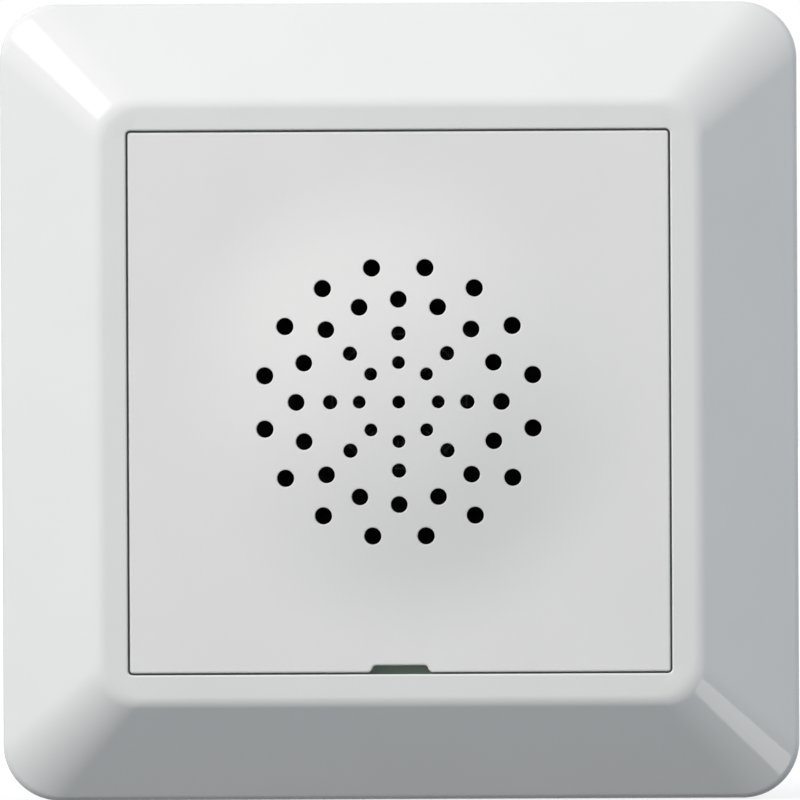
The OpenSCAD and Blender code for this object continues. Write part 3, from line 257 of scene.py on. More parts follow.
def coverFrame(shape):
    half, high, wall = shape["width"] / 2, shape["height"], shape["wall"]
    edgeR, rimR, footR, lipR = shape["edgeR"], shape["rimR"], shape["footR"], shape["lipR"]
    apertureIn = half - shape["aperture"] / 2
    slopeRun = apertureIn - shape["rimWide"]
    edgeAt, rimAt = (edgeR, shape["edgeHigh"]), (slopeRun, high - rimR)
    span = np.subtract(rimAt, edgeAt)
    slope = math.degrees(math.atan2(span[1], span[0]) - math.asin((edgeR - rimR) / np.hypot(*span)))
    foot = arcPoints((footR, footR), footR, 270, 180, shape["footSteps"])
    edge = arcPoints(edgeAt, edgeR, 180, 90 + slope, shape["bendSteps"])
    rim = arcPoints(rimAt, rimR, 90 + slope, 90, shape["bendSteps"])
    outside = np.concatenate([foot, edge, rim])
    lip = arcPoints((apertureIn - lipR, high - lipR), lipR, 90, 0, shape["lipSteps"])
    ledgeTop = high - shape["ledgeDeep"]
    ledgeIn, ledgeFoot = apertureIn + shape["ledgeWide"], ledgeTop - shape["ledgeThick"]
    collarIn, ceiling = apertureIn - shape["collar"], high - wall
    normal = np.array([-math.sin(math.radians(slope)), math.cos(math.radians(slope))])
    under = np.array(edgeAt) + (edgeR - wall) * normal
    rise = math.tan(math.radians(slope))
    roofIn = under[0] + (ceiling - under[1]) / rise
    wallTop = under[1] + (wall - under[0]) * rise
    inside = np.array([[apertureIn, ledgeTop], [ledgeIn, ledgeTop], [ledgeIn, ledgeFoot],
                       [collarIn, ledgeFoot], [collarIn, ceiling], [roofIn, ceiling],
                       [wall, wallTop], [wall, 0.0]])
    section = np.concatenate([outside, lip, inside])
    cone = shape["cornerR"] + (shape["rimCornerR"] - shape["cornerR"]) * outside[:, 0] / slopeRun
    lipCornerR = shape["apertureR"] + apertureIn - lip[:, 0]
    collarR = shape["apertureR"] + shape["collar"]
    inner = [max(shape["cornerR"] - shape["insideTaper"] * x - wall, shape["insideLeastR"])
             for x in (roofIn, wall, wall)]
    r = np.concatenate([cone, lipCornerR, [shape["apertureR"]] * 3, [collarR] * 2, inner])
    walk = squareWalk(([0.0],) * 4, shape["cornerSteps"])
    rings = squareRings(walk, half - section[:, 0], r)
    points = rowPoints(rings[..., 0], rings[..., 1], section[:, 1][:, None])
    faces = gridQuads(*rings.shape[:2], wrapRows=True)
    # ribs: one upright outline between collar and slope, given a thickness, two on each side
    bite, ribFoot, ribTop = shape["ribBite"], shape["ribFoot"], ceiling + shape["ribRoofBite"]
    rootIn = collarIn + shape["ribRoot"]
    outline = np.array([[rootIn, ribFoot], [rootIn, ledgeFoot + bite], [collarIn - bite, ledgeFoot + bite],
                        [collarIn - bite, ribTop], [roofIn, ribTop], [wall - bite, wallTop],
                        [wall - bite, ribFoot]])
    shiftOut = (half - outline[:, 0])[None, None, None, :]
    side = bothWays[:, None] * shape["ribPitch"] / 2 + bothWays * shape["ribThick"] / 2
    shiftSide = side[None, :, :, None]
    turn = np.radians([0, 90, 180, 270])[:, None, None, None]
    x = shiftOut * np.cos(turn) - shiftSide * np.sin(turn)
    y = shiftOut * np.sin(turn) + shiftSide * np.cos(turn)
    ribPoints = rowPoints(x, y, outline[:, 1][None, None, None, :])
    ribs = turn.size * len(side)
    return np.concatenate([points, ribPoints]), [faces, *barFaces(ribs, len(outline), len(points))]


# Painted shade: a dull grey-green band all round the ledge stands for the dark seen behind the notch;
# the share is 1 on the ledge's own level inside the aperture.
def paintedLedgeShade(material, shape, hexCode, nearMm=0.05):
    tree = material.node_tree
    spot = addNode(tree, "ShaderNodeSeparateXYZ", {"Vector": tree.nodes["Texture Coordinate"].outputs["Object"]})
    ledgeTop = shape["height"] - shape["ledgeDeep"]
    onLevel = addNode(tree, "ShaderNodeMath", {0: spot.outputs["Y"], 1: -ledgeTop * mm, 2: nearMm * mm},
                      operation="COMPARE")
    acrossX, acrossZ = (addNode(tree, "ShaderNodeMath", {0: spot.outputs[axis]}, operation="ABSOLUTE")
                        for axis in "XZ")
    off = addNode(tree, "ShaderNodeMath", {0: acrossX.outputs[0], 1: acrossZ.outputs[0]}, operation="MAXIMUM")
    inside = addNode(tree, "ShaderNodeMath", {0: off.outputs[0], 1: (shape["aperture"] / 2 + nearMm) * mm},
                     operation="LESS_THAN")
    share = addNode(tree, "ShaderNodeMath", {0: onLevel.outputs[0], 1: inside.outputs[0]}, operation="MULTIPLY")
    colourIn = tree.nodes["Principled BSDF"].inputs["Base Color"]
    mixed = addNode(tree, "ShaderNodeMix", {0: share.outputs[0], 6: colourIn.links[0].from_socket,
                                            7: linearColour(hexCode)}, data_type="RGBA")
    tree.links.new(mixed.outputs[2], colourIn)


framePiece = makePiece("cover_frame_moulding", *coverFrame(frameShape))
frameGloss = mouldedPlastic("polycarbonateMouldedGloss", "#e9e9e8", 0.08, 0.35, 0.0006)  # clear reflections
# painted shade: dull grey-green on the ledge, as dark as the shade behind the notch
paintedLedgeShade(frameGloss, frameShape, "#6e8875")
framePiece.data.materials.append(frameGloss)
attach(framePiece, "frame")
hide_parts("cover_frame")
print("cover frame made,", len(framePiece.data.polygons), "faces")


# Centre plate: rings of one walk go from the face over the rounded edge, down the side, in along the
# shoulder and down and up the skirt; the face and the back are bulged sheets with the holes left open.
plateShape = dict(width=54.8, face=10.25, thick=1.8, cornerR=0.3, leastR=0.1, edgeR=0.2, shoulder=7.25,
                  skirtHalf=25.9, skirtThick=1.3, skirtR=2.4, skirtEnd=3.4, slitTop=6.1, slitWide=0.8,
                  armWide=7.0, armPitch=24.0, notchWide=6.3, notchInner=5.7, notchHigh=0.7, notchR=0.4,
                  notchFlare=0.8, ribInner=17.4, ribOuter=18.4, ribHigh=0.7, barbOut=0.75, barbHigh=1.1,
                  barbNose=1 / 3, barbBite=0.1, barbLift=0.02, holeEdge=0.1, crownR=11.5, flankWide=5.0,
                  tiltDeg=7.5, bulgeR=25.0, crownThick=2.1, hollowR=14.85, cornerSteps=10, edgeSteps=7,
                  notchSteps=4, holeSteps=36, lipSteps=4, ribSteps=96, faceStep=0.8, faceClear=0.4,
                  backStep=1.6, backClear=0.1)
# radius of the circle, number of holes, their diameter, and turn in steps
grilleRings = [(0.0, 1, 1.3, 0.0), (4.0, 8, 1.3, 0.0), (6.95, 8, 1.45, 0.0), (10.4, 16, 1.7, 0.0),
               (13.85, 16, 1.75, 0.5)]


# Middles and radii of the holes: count holes spread evenly on each circle.
def grilleHoles(rings):
    spots = []
    for ringR, count, holeD, shift in rings:
        a = 2 * np.pi * (np.arange(count) + shift) / count
        spots.append(np.column_stack([circlePoints(ringR, a), np.full(count, holeD / 2)]))
    return np.concatenate(spots)


# Rise of the face by distance from the middle: a ball's crown, an even flank, a hollow sweep to nothing.
def bulgeRise(shape, far):
    tilt = math.radians(shape["tiltDeg"])
    flankEnd = shape["crownR"] + shape["flankWide"]
    sweepR, ballR = (shape["bulgeR"] - flankEnd) / math.sin(tilt), shape["crownR"] / math.sin(tilt)
    sweepTop = sweepR * (1 - math.cos(tilt))
    crownFoot = sweepTop + shape["flankWide"] * math.tan(tilt)
    sweep = sweepR - np.sqrt(sweepR ** 2 - np.clip(shape["bulgeR"] - far, 0, sweepR / 2) ** 2)
    flank = sweepTop + (flankEnd - far) * math.tan(tilt)
    crown = crownFoot + np.sqrt(ballR ** 2 - np.minimum(far, ballR) ** 2) - ballR * math.cos(tilt)
    return np.where(far < shape["crownR"], crown, np.where(far < flankEnd, flank, sweep))


# Rise of the back: a shallow ball that leaves the same wall in the middle and ends in the gasket's land.
def hollowRise(shape, far):
    high = bulgeRise(shape, 0.0) + shape["thick"] - shape["crownThick"]
    ballR = (shape["hollowR"] ** 2 + high ** 2) / (2 * high)
    return np.maximum(np.sqrt(ballR ** 2 - np.minimum(far, ballR) ** 2) - ballR + high, 0)


# Points on even circles about the middle that keep clear of the holes, to carry the bulge.
def bulgePoints(step, lastR, holes, clear, fewest=6):
    circles = [circlePoints(r, fullTurn(max(round(2 * np.pi * r / step), fewest)))
               for r in np.linspace(0, lastR, round(lastR / step) + 1)[1:]]
    spots = np.concatenate(circles)
    off = np.linalg.norm(spots[:, None] - holes[None, :, :2], axis=-1) - holes[:, 2]
    return spots[(off > clear).all(axis=1)]


# Sheet between an outline and round openings: triangles whose middle lies in an opening are dropped.
def openSheet(outline, loops, loose, isOpen):
    flat = np.concatenate([outline, *loops, loose])
    starts = np.cumsum([0, len(outline)] + [len(loop) for loop in loops])
    edges = np.concatenate([np.stack([np.arange(a, b), np.roll(np.arange(a, b), -1)], axis=-1)
                            for a, b in zip(starts[:-1], starts[1:])])
    found = delaunay_2d_cdt([Vector(p) for p in flat.tolist()], edges.tolist(), [], 0, mergeWithin)
    spots, triangles = np.array([tuple(p) for p in found[0]]), np.array(found[2])
    middle = spots[triangles].mean(axis=1)
    return spots, triangles[~isOpen(middle)]


def centrePlate(shape, holes):
    half, face, back = shape["width"] / 2, shape["face"], shape["face"] - shape["thick"]
    arms = bothWays[:, None] * shape["armPitch"] / 2
    gaps = arms + bothWays * (shape["armWide"] + shape["slitWide"]) / 2
    slits = np.sort((gaps.reshape(-1, 1) + bothWays * shape["slitWide"] / 2).ravel())
    # notch: a slanting side and a round corner, then the same the other way round
    notchR, notchSteps = shape["notchR"], shape["notchSteps"]
    cornerAt = (shape["notchInner"] / 2 - notchR, shape["notchHigh"] - notchR)
    corner = np.concatenate([[(shape["notchWide"] / 2, 0)], arcPoints(cornerAt, notchR, 0, 90, notchSteps)])
    # way each stop moves where the edge rounds off
    spread = np.concatenate([[(shape["notchFlare"], 0)], arcPoints((0, -1), 1.0, 0, 90, notchSteps)])
    notch, notchSpread = (np.concatenate([part * (-1, 1), part[::-1]]) for part in (corner, spread))
    walk = squareWalk((slits, [0.0], slits, notch[:, 0]), shape["cornerSteps"])
    reach, _, along = walk
    notchAt = np.flatnonzero(np.isin(along[:, 0], notch[:, 0]) & (reach[:, 1] == -1))
    # front edge: a quarter round from the face to the side
    bend = np.radians(np.linspace(90, 0, shape["edgeSteps"] + 1))
    inset, level = shape["edgeR"] * (1 - np.cos(bend)), face - shape["edgeR"] * (1 - np.sin(bend))
    inset, level = np.append(inset, 0), np.append(level, shape["shoulder"])
    upper = squareRings(walk, half - inset, np.maximum(shape["cornerR"] - inset, shape["leastR"]))
    upper[:, notchAt] += inset[:, None, None] * notchSpread
    upper[:, notchAt, 1] += notch[:, 1]
    # shoulder and skirt: three rings down its outside and three up its inside
    inner = shape["skirtHalf"] - shape["skirtThick"]
    lowerHalf = np.array([shape["skirtHalf"]] * 3 + [inner] * 3)
    lowerR = np.array([shape["skirtR"]] * 3 + [shape["skirtR"] - shape["skirtThick"]] * 3)
    lowerLevel = np.array([shape["shoulder"], shape["slitTop"], shape["skirtEnd"],
                           shape["skirtEnd"], shape["slitTop"], back])
    lower = squareRings(walk, lowerHalf, lowerR)
    rings = np.concatenate([upper, lower])
    levels = np.concatenate([level, lowerLevel])
    points = [rowPoints(rings[..., 0], rings[..., 1], levels[:, None])]
    count, top = rings.shape[1], len(level)
    column = np.arange(count)
    nextColumn = (column + 1) % count
    # a slit is a step of the walk between two stops one slit width apart on a left or right side
    step = np.linalg.norm(lower[0][nextColumn] - lower[0][column], axis=-1)
    onSide = (np.abs(reach[:, 0]) == 1) & (reach[:, 1] == 0)
    isSlit = onSide & onSide[nextColumn] & np.isclose(step, shape["slitWide"])

    def strip(rowA, rowB, mask):
        a, b = column[mask], nextColumn[mask]
        return np.stack([rowA * count + a, rowA * count + b, rowB * count + b, rowB * count + a], axis=-1)

    faces = [gridQuads(top + 2, count)]  # face edge to the slits' top, outside
    faces += [strip(top + k, top + k + 1, ~isSlit) for k in (1, 2, 3)]
    faces += [strip(top + 1, top + 4, isSlit), strip(top + 4, top + 5, np.ones(count, bool))]
    ends = np.concatenate([column[isSlit], nextColumn[isSlit]])
    faces.append(np.stack([(top + k) * count + ends for k in (1, 2, 3, 4)], axis=-1))
    # hole walls: a small round at the face and a straight bore
    lip = np.radians(np.linspace(90, 0, shape["lipSteps"] + 1))
    boreR = np.concatenate([shape["holeEdge"] * (1 - np.cos(lip)), [0.0]])
    boreLevel = np.append(face - shape["holeEdge"] * (1 - np.sin(lip)), back)[None, :, None]
    a = fullTurn(shape["holeSteps"])
    r = holes[:, 2][:, None, None] + boreR[None, :, None]
    x, y = holes[:, 0][:, None, None] + r * np.cos(a), holes[:, 1][:, None, None] + r * np.sin(a)
    isBack = (np.arange(len(boreR)) == len(boreR) - 1)[None, :, None]
    far = np.hypot(x, y)
    rise = np.where(isBack, hollowRise(shape, far), bulgeRise(shape, far))
    starts = countOf(points) + np.arange(len(holes))[:, None, None] * len(boreR) * len(a)
    points.append(rowPoints(x, y, boreLevel + rise))
    faces.append((starts + gridQuads(len(boreR), len(a))).reshape(-1, 4))
    # rib round the gasket
    ribRadius = np.array([shape["ribOuter"]] * 2 + [shape["ribInner"]] * 2)[:, None]
    ribLevel = np.array([back, back - shape["ribHigh"], back - shape["ribHigh"], back])[:, None]
    around = fullTurn(shape["ribSteps"])
    faces.append(gridQuads(len(ribRadius), len(around), first=countOf(points)))
    points.append(rowPoints(ribRadius * np.cos(around), ribRadius * np.sin(around), ribLevel))
    # bulged face and back
    frontR = holes[:, 2] + boreR[0]
    border = upper[0, notchAt[len(corner):]]  # right half of the notch's border

    def inHole(p, radii):
        return (np.linalg.norm(p[:, None] - holes[None, :, :2], axis=-1) < radii).any(axis=1)

    def openFront(p):
        inNotch = p[:, 1] < np.interp(np.abs(p[:, 0]), border[:, 0], border[:, 1], right=-half)
        return inHole(p, frontR) | inNotch

    def openBack(p):
        far = np.linalg.norm(p, axis=-1)
        return inHole(p, holes[:, 2]) | ((far > shape["ribInner"]) & (far < shape["ribOuter"]))

    ribLoops = [circlePoints(shape[k], around) for k in ("ribInner", "ribOuter")]
    frontLoops = list(np.stack([x[:, 0], y[:, 0]], axis=-1))
    backLoops = list(np.stack([x[:, -1], y[:, -1]], axis=-1)) + ribLoops
    frontLoose = bulgePoints(shape["faceStep"], shape["bulgeR"], holes, shape["faceClear"])
    backLoose = bulgePoints(shape["backStep"], shape["hollowR"], holes, shape["backClear"])
    sheets = ((upper[0], frontLoops, frontLoose, openFront, face, bulgeRise),
              (lower[-1], backLoops, backLoose, openBack, back, hollowRise))
    for outline, loops, loose, isOpen, height, riseOf in sheets:
        spots, triangles = openSheet(outline, loops, loose, isOpen)
        faces.append(triangles + countOf(points))
        points.append(rowPoints(spots[:, 0], spots[:, 1], height + riseOf(shape, np.linalg.norm(spots, axis=-1))))
    # barbs: a blunt wedge carried along the inside of each arm
    barbOut, nose, bite = shape["barbOut"], shape["barbNose"] / 2, shape["barbBite"]
    wedge = np.array([[bite, 0.5], [0.0, 0.5], [-barbOut, nose], [-barbOut, -nose], [0.0, -0.5], [bite, -0.5]])
    out = inner + wedge[:, 0]
    barbLevel = shape["skirtEnd"] + shape["barbHigh"] * (0.5 + wedge[:, 1]) + shape["barbLift"]
    ends = arms + bothWays * shape["armWide"] / 2
    barbs = len(bothWays) * len(ends)
    faces += barFaces(barbs, len(wedge), countOf(points))
    points.append(rowPoints(bothWays[:, None, None, None] * out, ends[None, :, :, None], barbLevel))
    return np.concatenate(points), faces


plateSatin = mouldedPlastic("polycarbonateMouldedSatin", "#ecebea", 0.42, 0.25, 0.003)  # soft, even sheen
platePiece = makePiece("centre_plate_moulding", *centrePlate(plateShape, grilleHoles(grilleRings)),
                       evenFaces=False)
platePiece.data.materials.append(plateSatin)
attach(platePiece, "plate")
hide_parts("centre_plate")
print("centre plate made,", len(platePiece.data.polygons), "faces")

# Foam ring: a closed section turned about the axis, with flat top and foot and sides that bulge a little.
gasketShape = dict(inner=14.95, outer=17.05, foot=6.67, top=8.12, edgeR=0.28, bulge=0.06, edgeSteps=6, steps=180)


def foamRing(shape):
    middle, wide = (shape["inner"] + shape["outer"]) / 2, (shape["outer"] - shape["inner"]) / 2
    level, high = (shape["foot"] + shape["top"]) / 2, (shape["top"] - shape["foot"]) / 2
    flatX, flatZ = wide - shape["edgeR"], high - shape["edgeR"]
    corners = [arcPoints((sx * flatX, sz * flatZ), shape["edgeR"], turn, turn + 90, shape["edgeSteps"])
               for sx, sz, turn in ((1, 1, 0), (-1, 1, 90), (-1, -1, 180), (1, -1, 270))]
    section = np.concatenate(corners)
    section[:, 0] += np.sign(section[:, 0]) * shape["bulge"] * (np.cos(np.pi / 2 * section[:, 1] / high) - 1)
    section = section + [middle, level]
    a, r, z = fullTurn(shape["steps"]), section[:, 0][:, None], section[:, 1][:, None]
    return rowPoints(r * np.cos(a), r * np.sin(a), z), [gridQuads(len(section), len(a), wrapRows=True)]


# Closed-cell foam: dark, dull and pitted where the die cut opened its cells, with painted shade in the pits.
def cutFoam(name, hexCode, cellMm, pitDeep=0.12, pitShadeShare=0.5, rimShare=1.6):
    material, tree, shader, place = startMaterial(name)
    cells = addNode(tree, "ShaderNodeTexVoronoi", {"Vector": place, "Scale": 1 / (cellMm * mm)})
    # painted shade: darker towards the middle of each pit, paler on the rims between
    shade = addNode(tree, "ShaderNodeMix", {0: cells.outputs["Distance"], 6: linearColour(hexCode, pitShadeShare),
                                            7: linearColour(hexCode, rimShare)}, data_type="RGBA")
    pits = addNode(tree, "ShaderNodeBump", {"Height": cells.outputs["Distance"], "Distance": pitDeep * mm})
    setInputs(tree, shader, {"Base Color": shade.outputs[2], "Roughness": 0.95, "Normal": pits.outputs["Normal"]})
    return material


gasketPiece = makePiece("sound_gasket_foam", *foamRing(gasketShape))
gasketPiece.data.materials.append(cutFoam("polyethyleneFoamCut", "#2b2b2d", 0.45))
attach(gasketPiece, "insert")
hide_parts("sound_gasket")
print("foam ring made")

# Surround: a half roll of film with a flat foot. Height over the roll is a half circle, lifted and let
# down by slanting ripples: sin(ripples * angle + slant * place across the roll). A share is also returned
# that runs smoothly from 1 at the roll's inner edge to 0 at its outer edge.
surroundShape = dict(inner=11.35, rollR=1.1, outer=16.0, foot=5.15, film=0.2, ripples=40, rippleHigh=0.07,
                     slant=2.4, rollSteps=16, steps=320, hold=0.2)


def filmRoll(shape):
    rollR, foot, film, hold = shape["rollR"], shape["foot"], shape["film"], shape["hold"]
    crest, rollOut = shape["inner"] + rollR, shape["inner"] + 2 * rollR
    over = arcPoints((crest, foot), rollR, 180, 0, shape["rollSteps"])
    under = arcPoints((crest, foot), rollR - film, 180, 0, shape["rollSteps"])[::-1]
    over[-1, 1] = foot + film
    flange = np.array([[shape["outer"], foot + film], [shape["outer"], foot]])
    section = np.concatenate([over, flange, under])
    turn = fullTurn(shape["steps"])
    r, z = section[:, 0][:, None], section[:, 1][:, None]
    across = np.clip((r - crest) / rollR, -1, 1)
    high = shape["rippleHigh"] * np.cos(np.pi / 2 * across)
    ripple = high * np.sin(shape["ripples"] * turn + shape["slant"] * across)
    points = rowPoints(r * np.cos(turn), r * np.sin(turn), z + ripple - high)
    share = np.clip((rollOut - hold - r) / (2 * rollR - 2 * hold), 0, 1)
    share = np.broadcast_to(share * share * (3 - 2 * share), (len(section), len(turn)))
    return points, [gridQuads(len(section), len(turn), wrapRows=True)], share.ravel()


# Polyester film: thin, dark and shiny, with pressed ribs that run out from the dome and a slight cloud.
# Its IOR is at the low end for plastics, so that little shows through the grille.
def pressedFilm(name, hexCode, ribs, cloudMm=3.0, drift=0.3, ribDeep=0.03):
    material, tree, shader, place = startMaterial(name)
    cloud = addNode(tree, "ShaderNodeTexNoise", {"Vector": place, "Scale": 1 / (cloudMm * mm), "Detail": 2.0})
    shade = addNode(tree, "ShaderNodeMix", {0: cloud.outputs["Fac"], 6: linearColour(hexCode, 1 - drift),
                                            7: linearColour(hexCode, 1 + drift)}, data_type="RGBA")
    rough = addNode(tree, "ShaderNodeMapRange", {"Value": cloud.outputs["Fac"], "To Min": 0.16, "To Max": 0.3})
    facing = addNode(tree, "ShaderNodeMapping", {"Vector": place, "Rotation": faceOn})
    angle = addNode(tree, "ShaderNodeTexGradient", {"Vector": facing.outputs["Vector"]}, gradient_type="RADIAL")
    turns = addNode(tree, "ShaderNodeMath", {0: angle.outputs["Fac"], 1: 2 * math.pi * ribs}, operation="MULTIPLY")
    wave = addNode(tree, "ShaderNodeMath", {0: turns.outputs[0]}, operation="SINE")
    lift = addNode(tree, "ShaderNodeBump", {"Height": wave.outputs[0], "Distance": ribDeep * mm, "Strength": 0.6})
    setInputs(tree, shader, {"Base Color": shade.outputs[2], "Roughness": rough.outputs["Result"], "IOR": 1.4,
                             "Normal": lift.outputs["Normal"]})
    return material


filmBlack = pressedFilm("polyesterFilmPressed", "#121214", 24)
rollPoints, rollFaces, rollShare = filmRoll(surroundShape)
surroundPiece = makePiece("surround_roll", rollPoints, rollFaces, evenFaces=False)
surroundPiece.data.materials.append(filmBlack)
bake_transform(surroundPiece)
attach(surroundPiece, "insert")
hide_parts("surround")
print("surround made,", len(surroundPiece.data.polygons), "faces")


# Relief on a solid's skin: its edges look rounded by edgeMm, and the height adds fine unevenness.
def relief(tree, shader, height, deepMm, edgeMm):
    soft = addNode(tree, "ShaderNodeBevel", {"Radius": edgeMm * mm}, samples=4)
    fine = addNode(tree, "ShaderNodeBump", {"Height": height, "Distance": deepMm * mm,
                                            "Normal": soft.outputs["Normal"]})
    setInputs(tree, shader, {"Normal": fine.outputs["Normal"]})


# Plated metal: cells of the coating catch the light unevenly, and drawing or turning leaves fine marks.
def platedMetal(name, paleHex, darkHex, roughness, cellMm, markMm, marksAlong=(1, 1, 1), edgeMm=0.12,
                markDeep=0.006, uneven=0.25):
    material, tree, shader, place = startMaterial(name)
    cells = addNode(tree, "ShaderNodeTexVoronoi", {"Vector": place, "Scale": 1 / (cellMm * mm)})
    grey = addNode(tree, "ShaderNodeSeparateColor", {"Color": cells.outputs["Color"]})
    shade = addNode(tree, "ShaderNodeMix", {0: grey.outputs["Red"], 6: linearColour(darkHex),
                                            7: linearColour(paleHex)}, data_type="RGBA")
    run = addNode(tree, "ShaderNodeMapping", {"Vector": place, "Scale": marksAlong})
    marks = addNode(tree, "ShaderNodeTexNoise", {"Vector": run.outputs["Vector"], "Scale": 1 / (markMm * mm),
                                                 "Detail": 4.0})
    rough = addNode(tree, "ShaderNodeMapRange", {"Value": marks.outputs["Fac"], **noiseSpan,
                                                 "To Min": roughness * (1 - uneven),
                                                 "To Max": roughness * (1 + uneven)})
    setInputs(tree, shader, {"Base Color": shade.outputs[2], "Metallic": 1.0, "Roughness": rough.outputs["Result"]})
    relief(tree, shader, marks.outputs["Fac"], markDeep, edgeMm)
    return material


# Two finishes on one solid, such as a moulded body and its pins: the share is 1 where the metal shows.
def bodyAndMetal(tree, shader, bodySocket, metalHex, share, bodyRough, grain, edgeMm=0.1, grainDeep=0.005,
                 uneven=0.15):
    mixed = addNode(tree, "ShaderNodeMix", {0: share, 6: bodySocket, 7: linearColour(metalHex)}, data_type="RGBA")
    rough = addNode(tree, "ShaderNodeMapRange", {"Value": grain, **noiseSpan, "To Min": bodyRough * (1 - uneven),
                                                 "To Max": bodyRough * (1 + uneven)})
    setInputs(tree, shader, {"Base Color": mixed.outputs[2], "Metallic": share,
                             "Roughness": rough.outputs["Result"]})
    relief(tree, shader, grain, grainDeep, edgeMm)


# Object coordinates from the middle of a node's box, split into x, y and z.
def centredAxes(tree, place, node):
    low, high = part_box(node)
    middle = (np.array(low) + np.array(high)) / 2
    moved = addNode(tree, "ShaderNodeVectorMath", {0: place, 1: tuple(middle)}, operation="SUBTRACT")
    return addNode(tree, "ShaderNodeSeparateXYZ", {"Vector": moved.outputs["Vector"]})


skinMm = 0.02  # past a body's own surface by this much, its metal begins


# Epoxy chip: matt black moulding, dimpled by the mould's worn face, with bright pins on both sides.
def epoxyChip(name, node, bodyWideMm, grainMm=0.18):
    material, tree, shader, place = startMaterial(name)
    grain = addNode(tree, "ShaderNodeTexNoise", {"Vector": place, "Scale": 1 / (grainMm * mm), "Detail": 3.0})
    body = addNode(tree, "ShaderNodeMix", {0: grain.outputs["Fac"], 6: linearColour("#141414"),
                                           7: linearColour("#2c2c2b")}, data_type="RGBA")
    axes = centredAxes(tree, place, node)
    off = addNode(tree, "ShaderNodeMath", {0: axes.outputs["Z"]}, operation="ABSOLUTE")
    pins = addNode(tree, "ShaderNodeMath", {0: off.outputs[0], 1: (bodyWideMm / 2 + skinMm) * mm},
                   operation="GREATER_THAN")
    bodyAndMetal(tree, shader, body.outputs[2], "#c9cbcc", pins.outputs[0], 0.6, grain.outputs["Fac"])
    return material


# Sleeved can: glossy shrink film with a pale polarity stripe, open at the front where bare aluminium shows.
def sleevedCan(name, node, sleeveHex, stripeFromMm, topMm, grainMm=0.6):
    material, tree, shader, place = startMaterial(name)
    grain = addNode(tree, "ShaderNodeTexNoise", {"Vector": place, "Scale": 1 / (grainMm * mm), "Detail": 2.0})
    axes = centredAxes(tree, place, node)
    stripe = addNode(tree, "ShaderNodeMath", {0: axes.outputs["Z"], 1: stripeFromMm * mm}, operation="GREATER_THAN")
    sleeve = addNode(tree, "ShaderNodeMix", {0: stripe.outputs[0], 6: linearColour(sleeveHex),
                                             7: linearColour("#c3c8d2")}, data_type="RGBA")
    spot = addNode(tree, "ShaderNodeSeparateXYZ", {"Vector": place})
    front = float(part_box(node)[0][1])
    top = addNode(tree, "ShaderNodeMath", {0: spot.outputs["Y"], 1: front + topMm * mm}, operation="LESS_THAN")
    bodyAndMetal(tree, shader, sleeve.outputs[2], "#b9babb", top.outputs[0], 0.28, grain.outputs["Fac"], edgeMm=0.25)
    return material


# Lacquered resistor: beige body with four painted rings and tinned wires; the rings follow x.
resistorBeige = "#cdb48a"
resistorRings = [(0.16, "#5a3216"), (0.25, resistorBeige), (0.34, "#171412"), (0.43, resistorBeige),
                 (0.52, "#a8261b"), (0.61, resistorBeige), (0.76, "#a9822f"), (0.85, resistorBeige)]


def bandedResistor(name, node, bodyLenMm, grainMm=0.5):
    material, tree, shader, place = startMaterial(name)
    grain = addNode(tree, "ShaderNodeTexNoise", {"Vector": place, "Scale": 1 / (grainMm * mm), "Detail": 2.0})
    axes = centredAxes(tree, place, node)
    along = addNode(tree, "ShaderNodeMapRange", {"Value": axes.outputs["X"], "From Min": -bodyLenMm / 2 * mm,
                                                 "From Max": bodyLenMm / 2 * mm})
    rings = addNode(tree, "ShaderNodeValToRGB", {"Fac": along.outputs["Result"]})
    ramp = rings.color_ramp
    ramp.interpolation = "CONSTANT"
    for at, hexCode in resistorRings:
        ramp.elements.new(at).color = linearColour(hexCode)
    for end in (0, -1):
        ramp.elements[end].color = linearColour(resistorBeige)
    far = addNode(tree, "ShaderNodeMath", {0: axes.outputs["X"]}, operation="ABSOLUTE")
    wire = addNode(tree, "ShaderNodeMath", {0: far.outputs[0], 1: (bodyLenMm / 2 + skinMm) * mm},
                   operation="GREATER_THAN")
    bodyAndMetal(tree, shader, rings.outputs["Color"], "#c6c7c8", wire.outputs[0], 0.35, grain.outputs["Fac"])
    return material


# Printed board: green lacquer over glass weave, paler over copper, with tinned pads on the usual grid.
def printedBoard(name, gridMm=2.54, padShare=0.24, weaveMm=0.3):
    material, tree, shader, place = startMaterial(name)
    facing = addNode(tree, "ShaderNodeMapping", {"Vector": place, "Rotation": faceOn}).outputs["Vector"]
    tracks = addNode(tree, "ShaderNodeTexBrick", {"Vector": facing, "Scale": 1 / (gridMm * mm),
                                                  "Mortar Size": 0.12, "Brick Width": 2.0, "Row Height": 1.0,
                                                  "Color1": linearColour("#1d5a2f"),
                                                  "Color2": linearColour("#1a522b"),
                                                  "Mortar": linearColour("#3c8a4a")})
    dots = addNode(tree, "ShaderNodeTexVoronoi", {"Vector": facing, "Scale": 1 / (gridMm * mm), "Randomness": 0.0},
                   voronoi_dimensions="2D")
    pads = addNode(tree, "ShaderNodeMath", {0: dots.outputs["Distance"], 1: padShare}, operation="LESS_THAN")
    weave = addNode(tree, "ShaderNodeTexNoise", {"Vector": place, "Scale": 1 / (weaveMm * mm), "Detail": 2.0})
    bodyAndMetal(tree, shader, tracks.outputs["Color"], "#c2bfae", pads.outputs[0], 0.38, weave.outputs["Fac"])
    return material
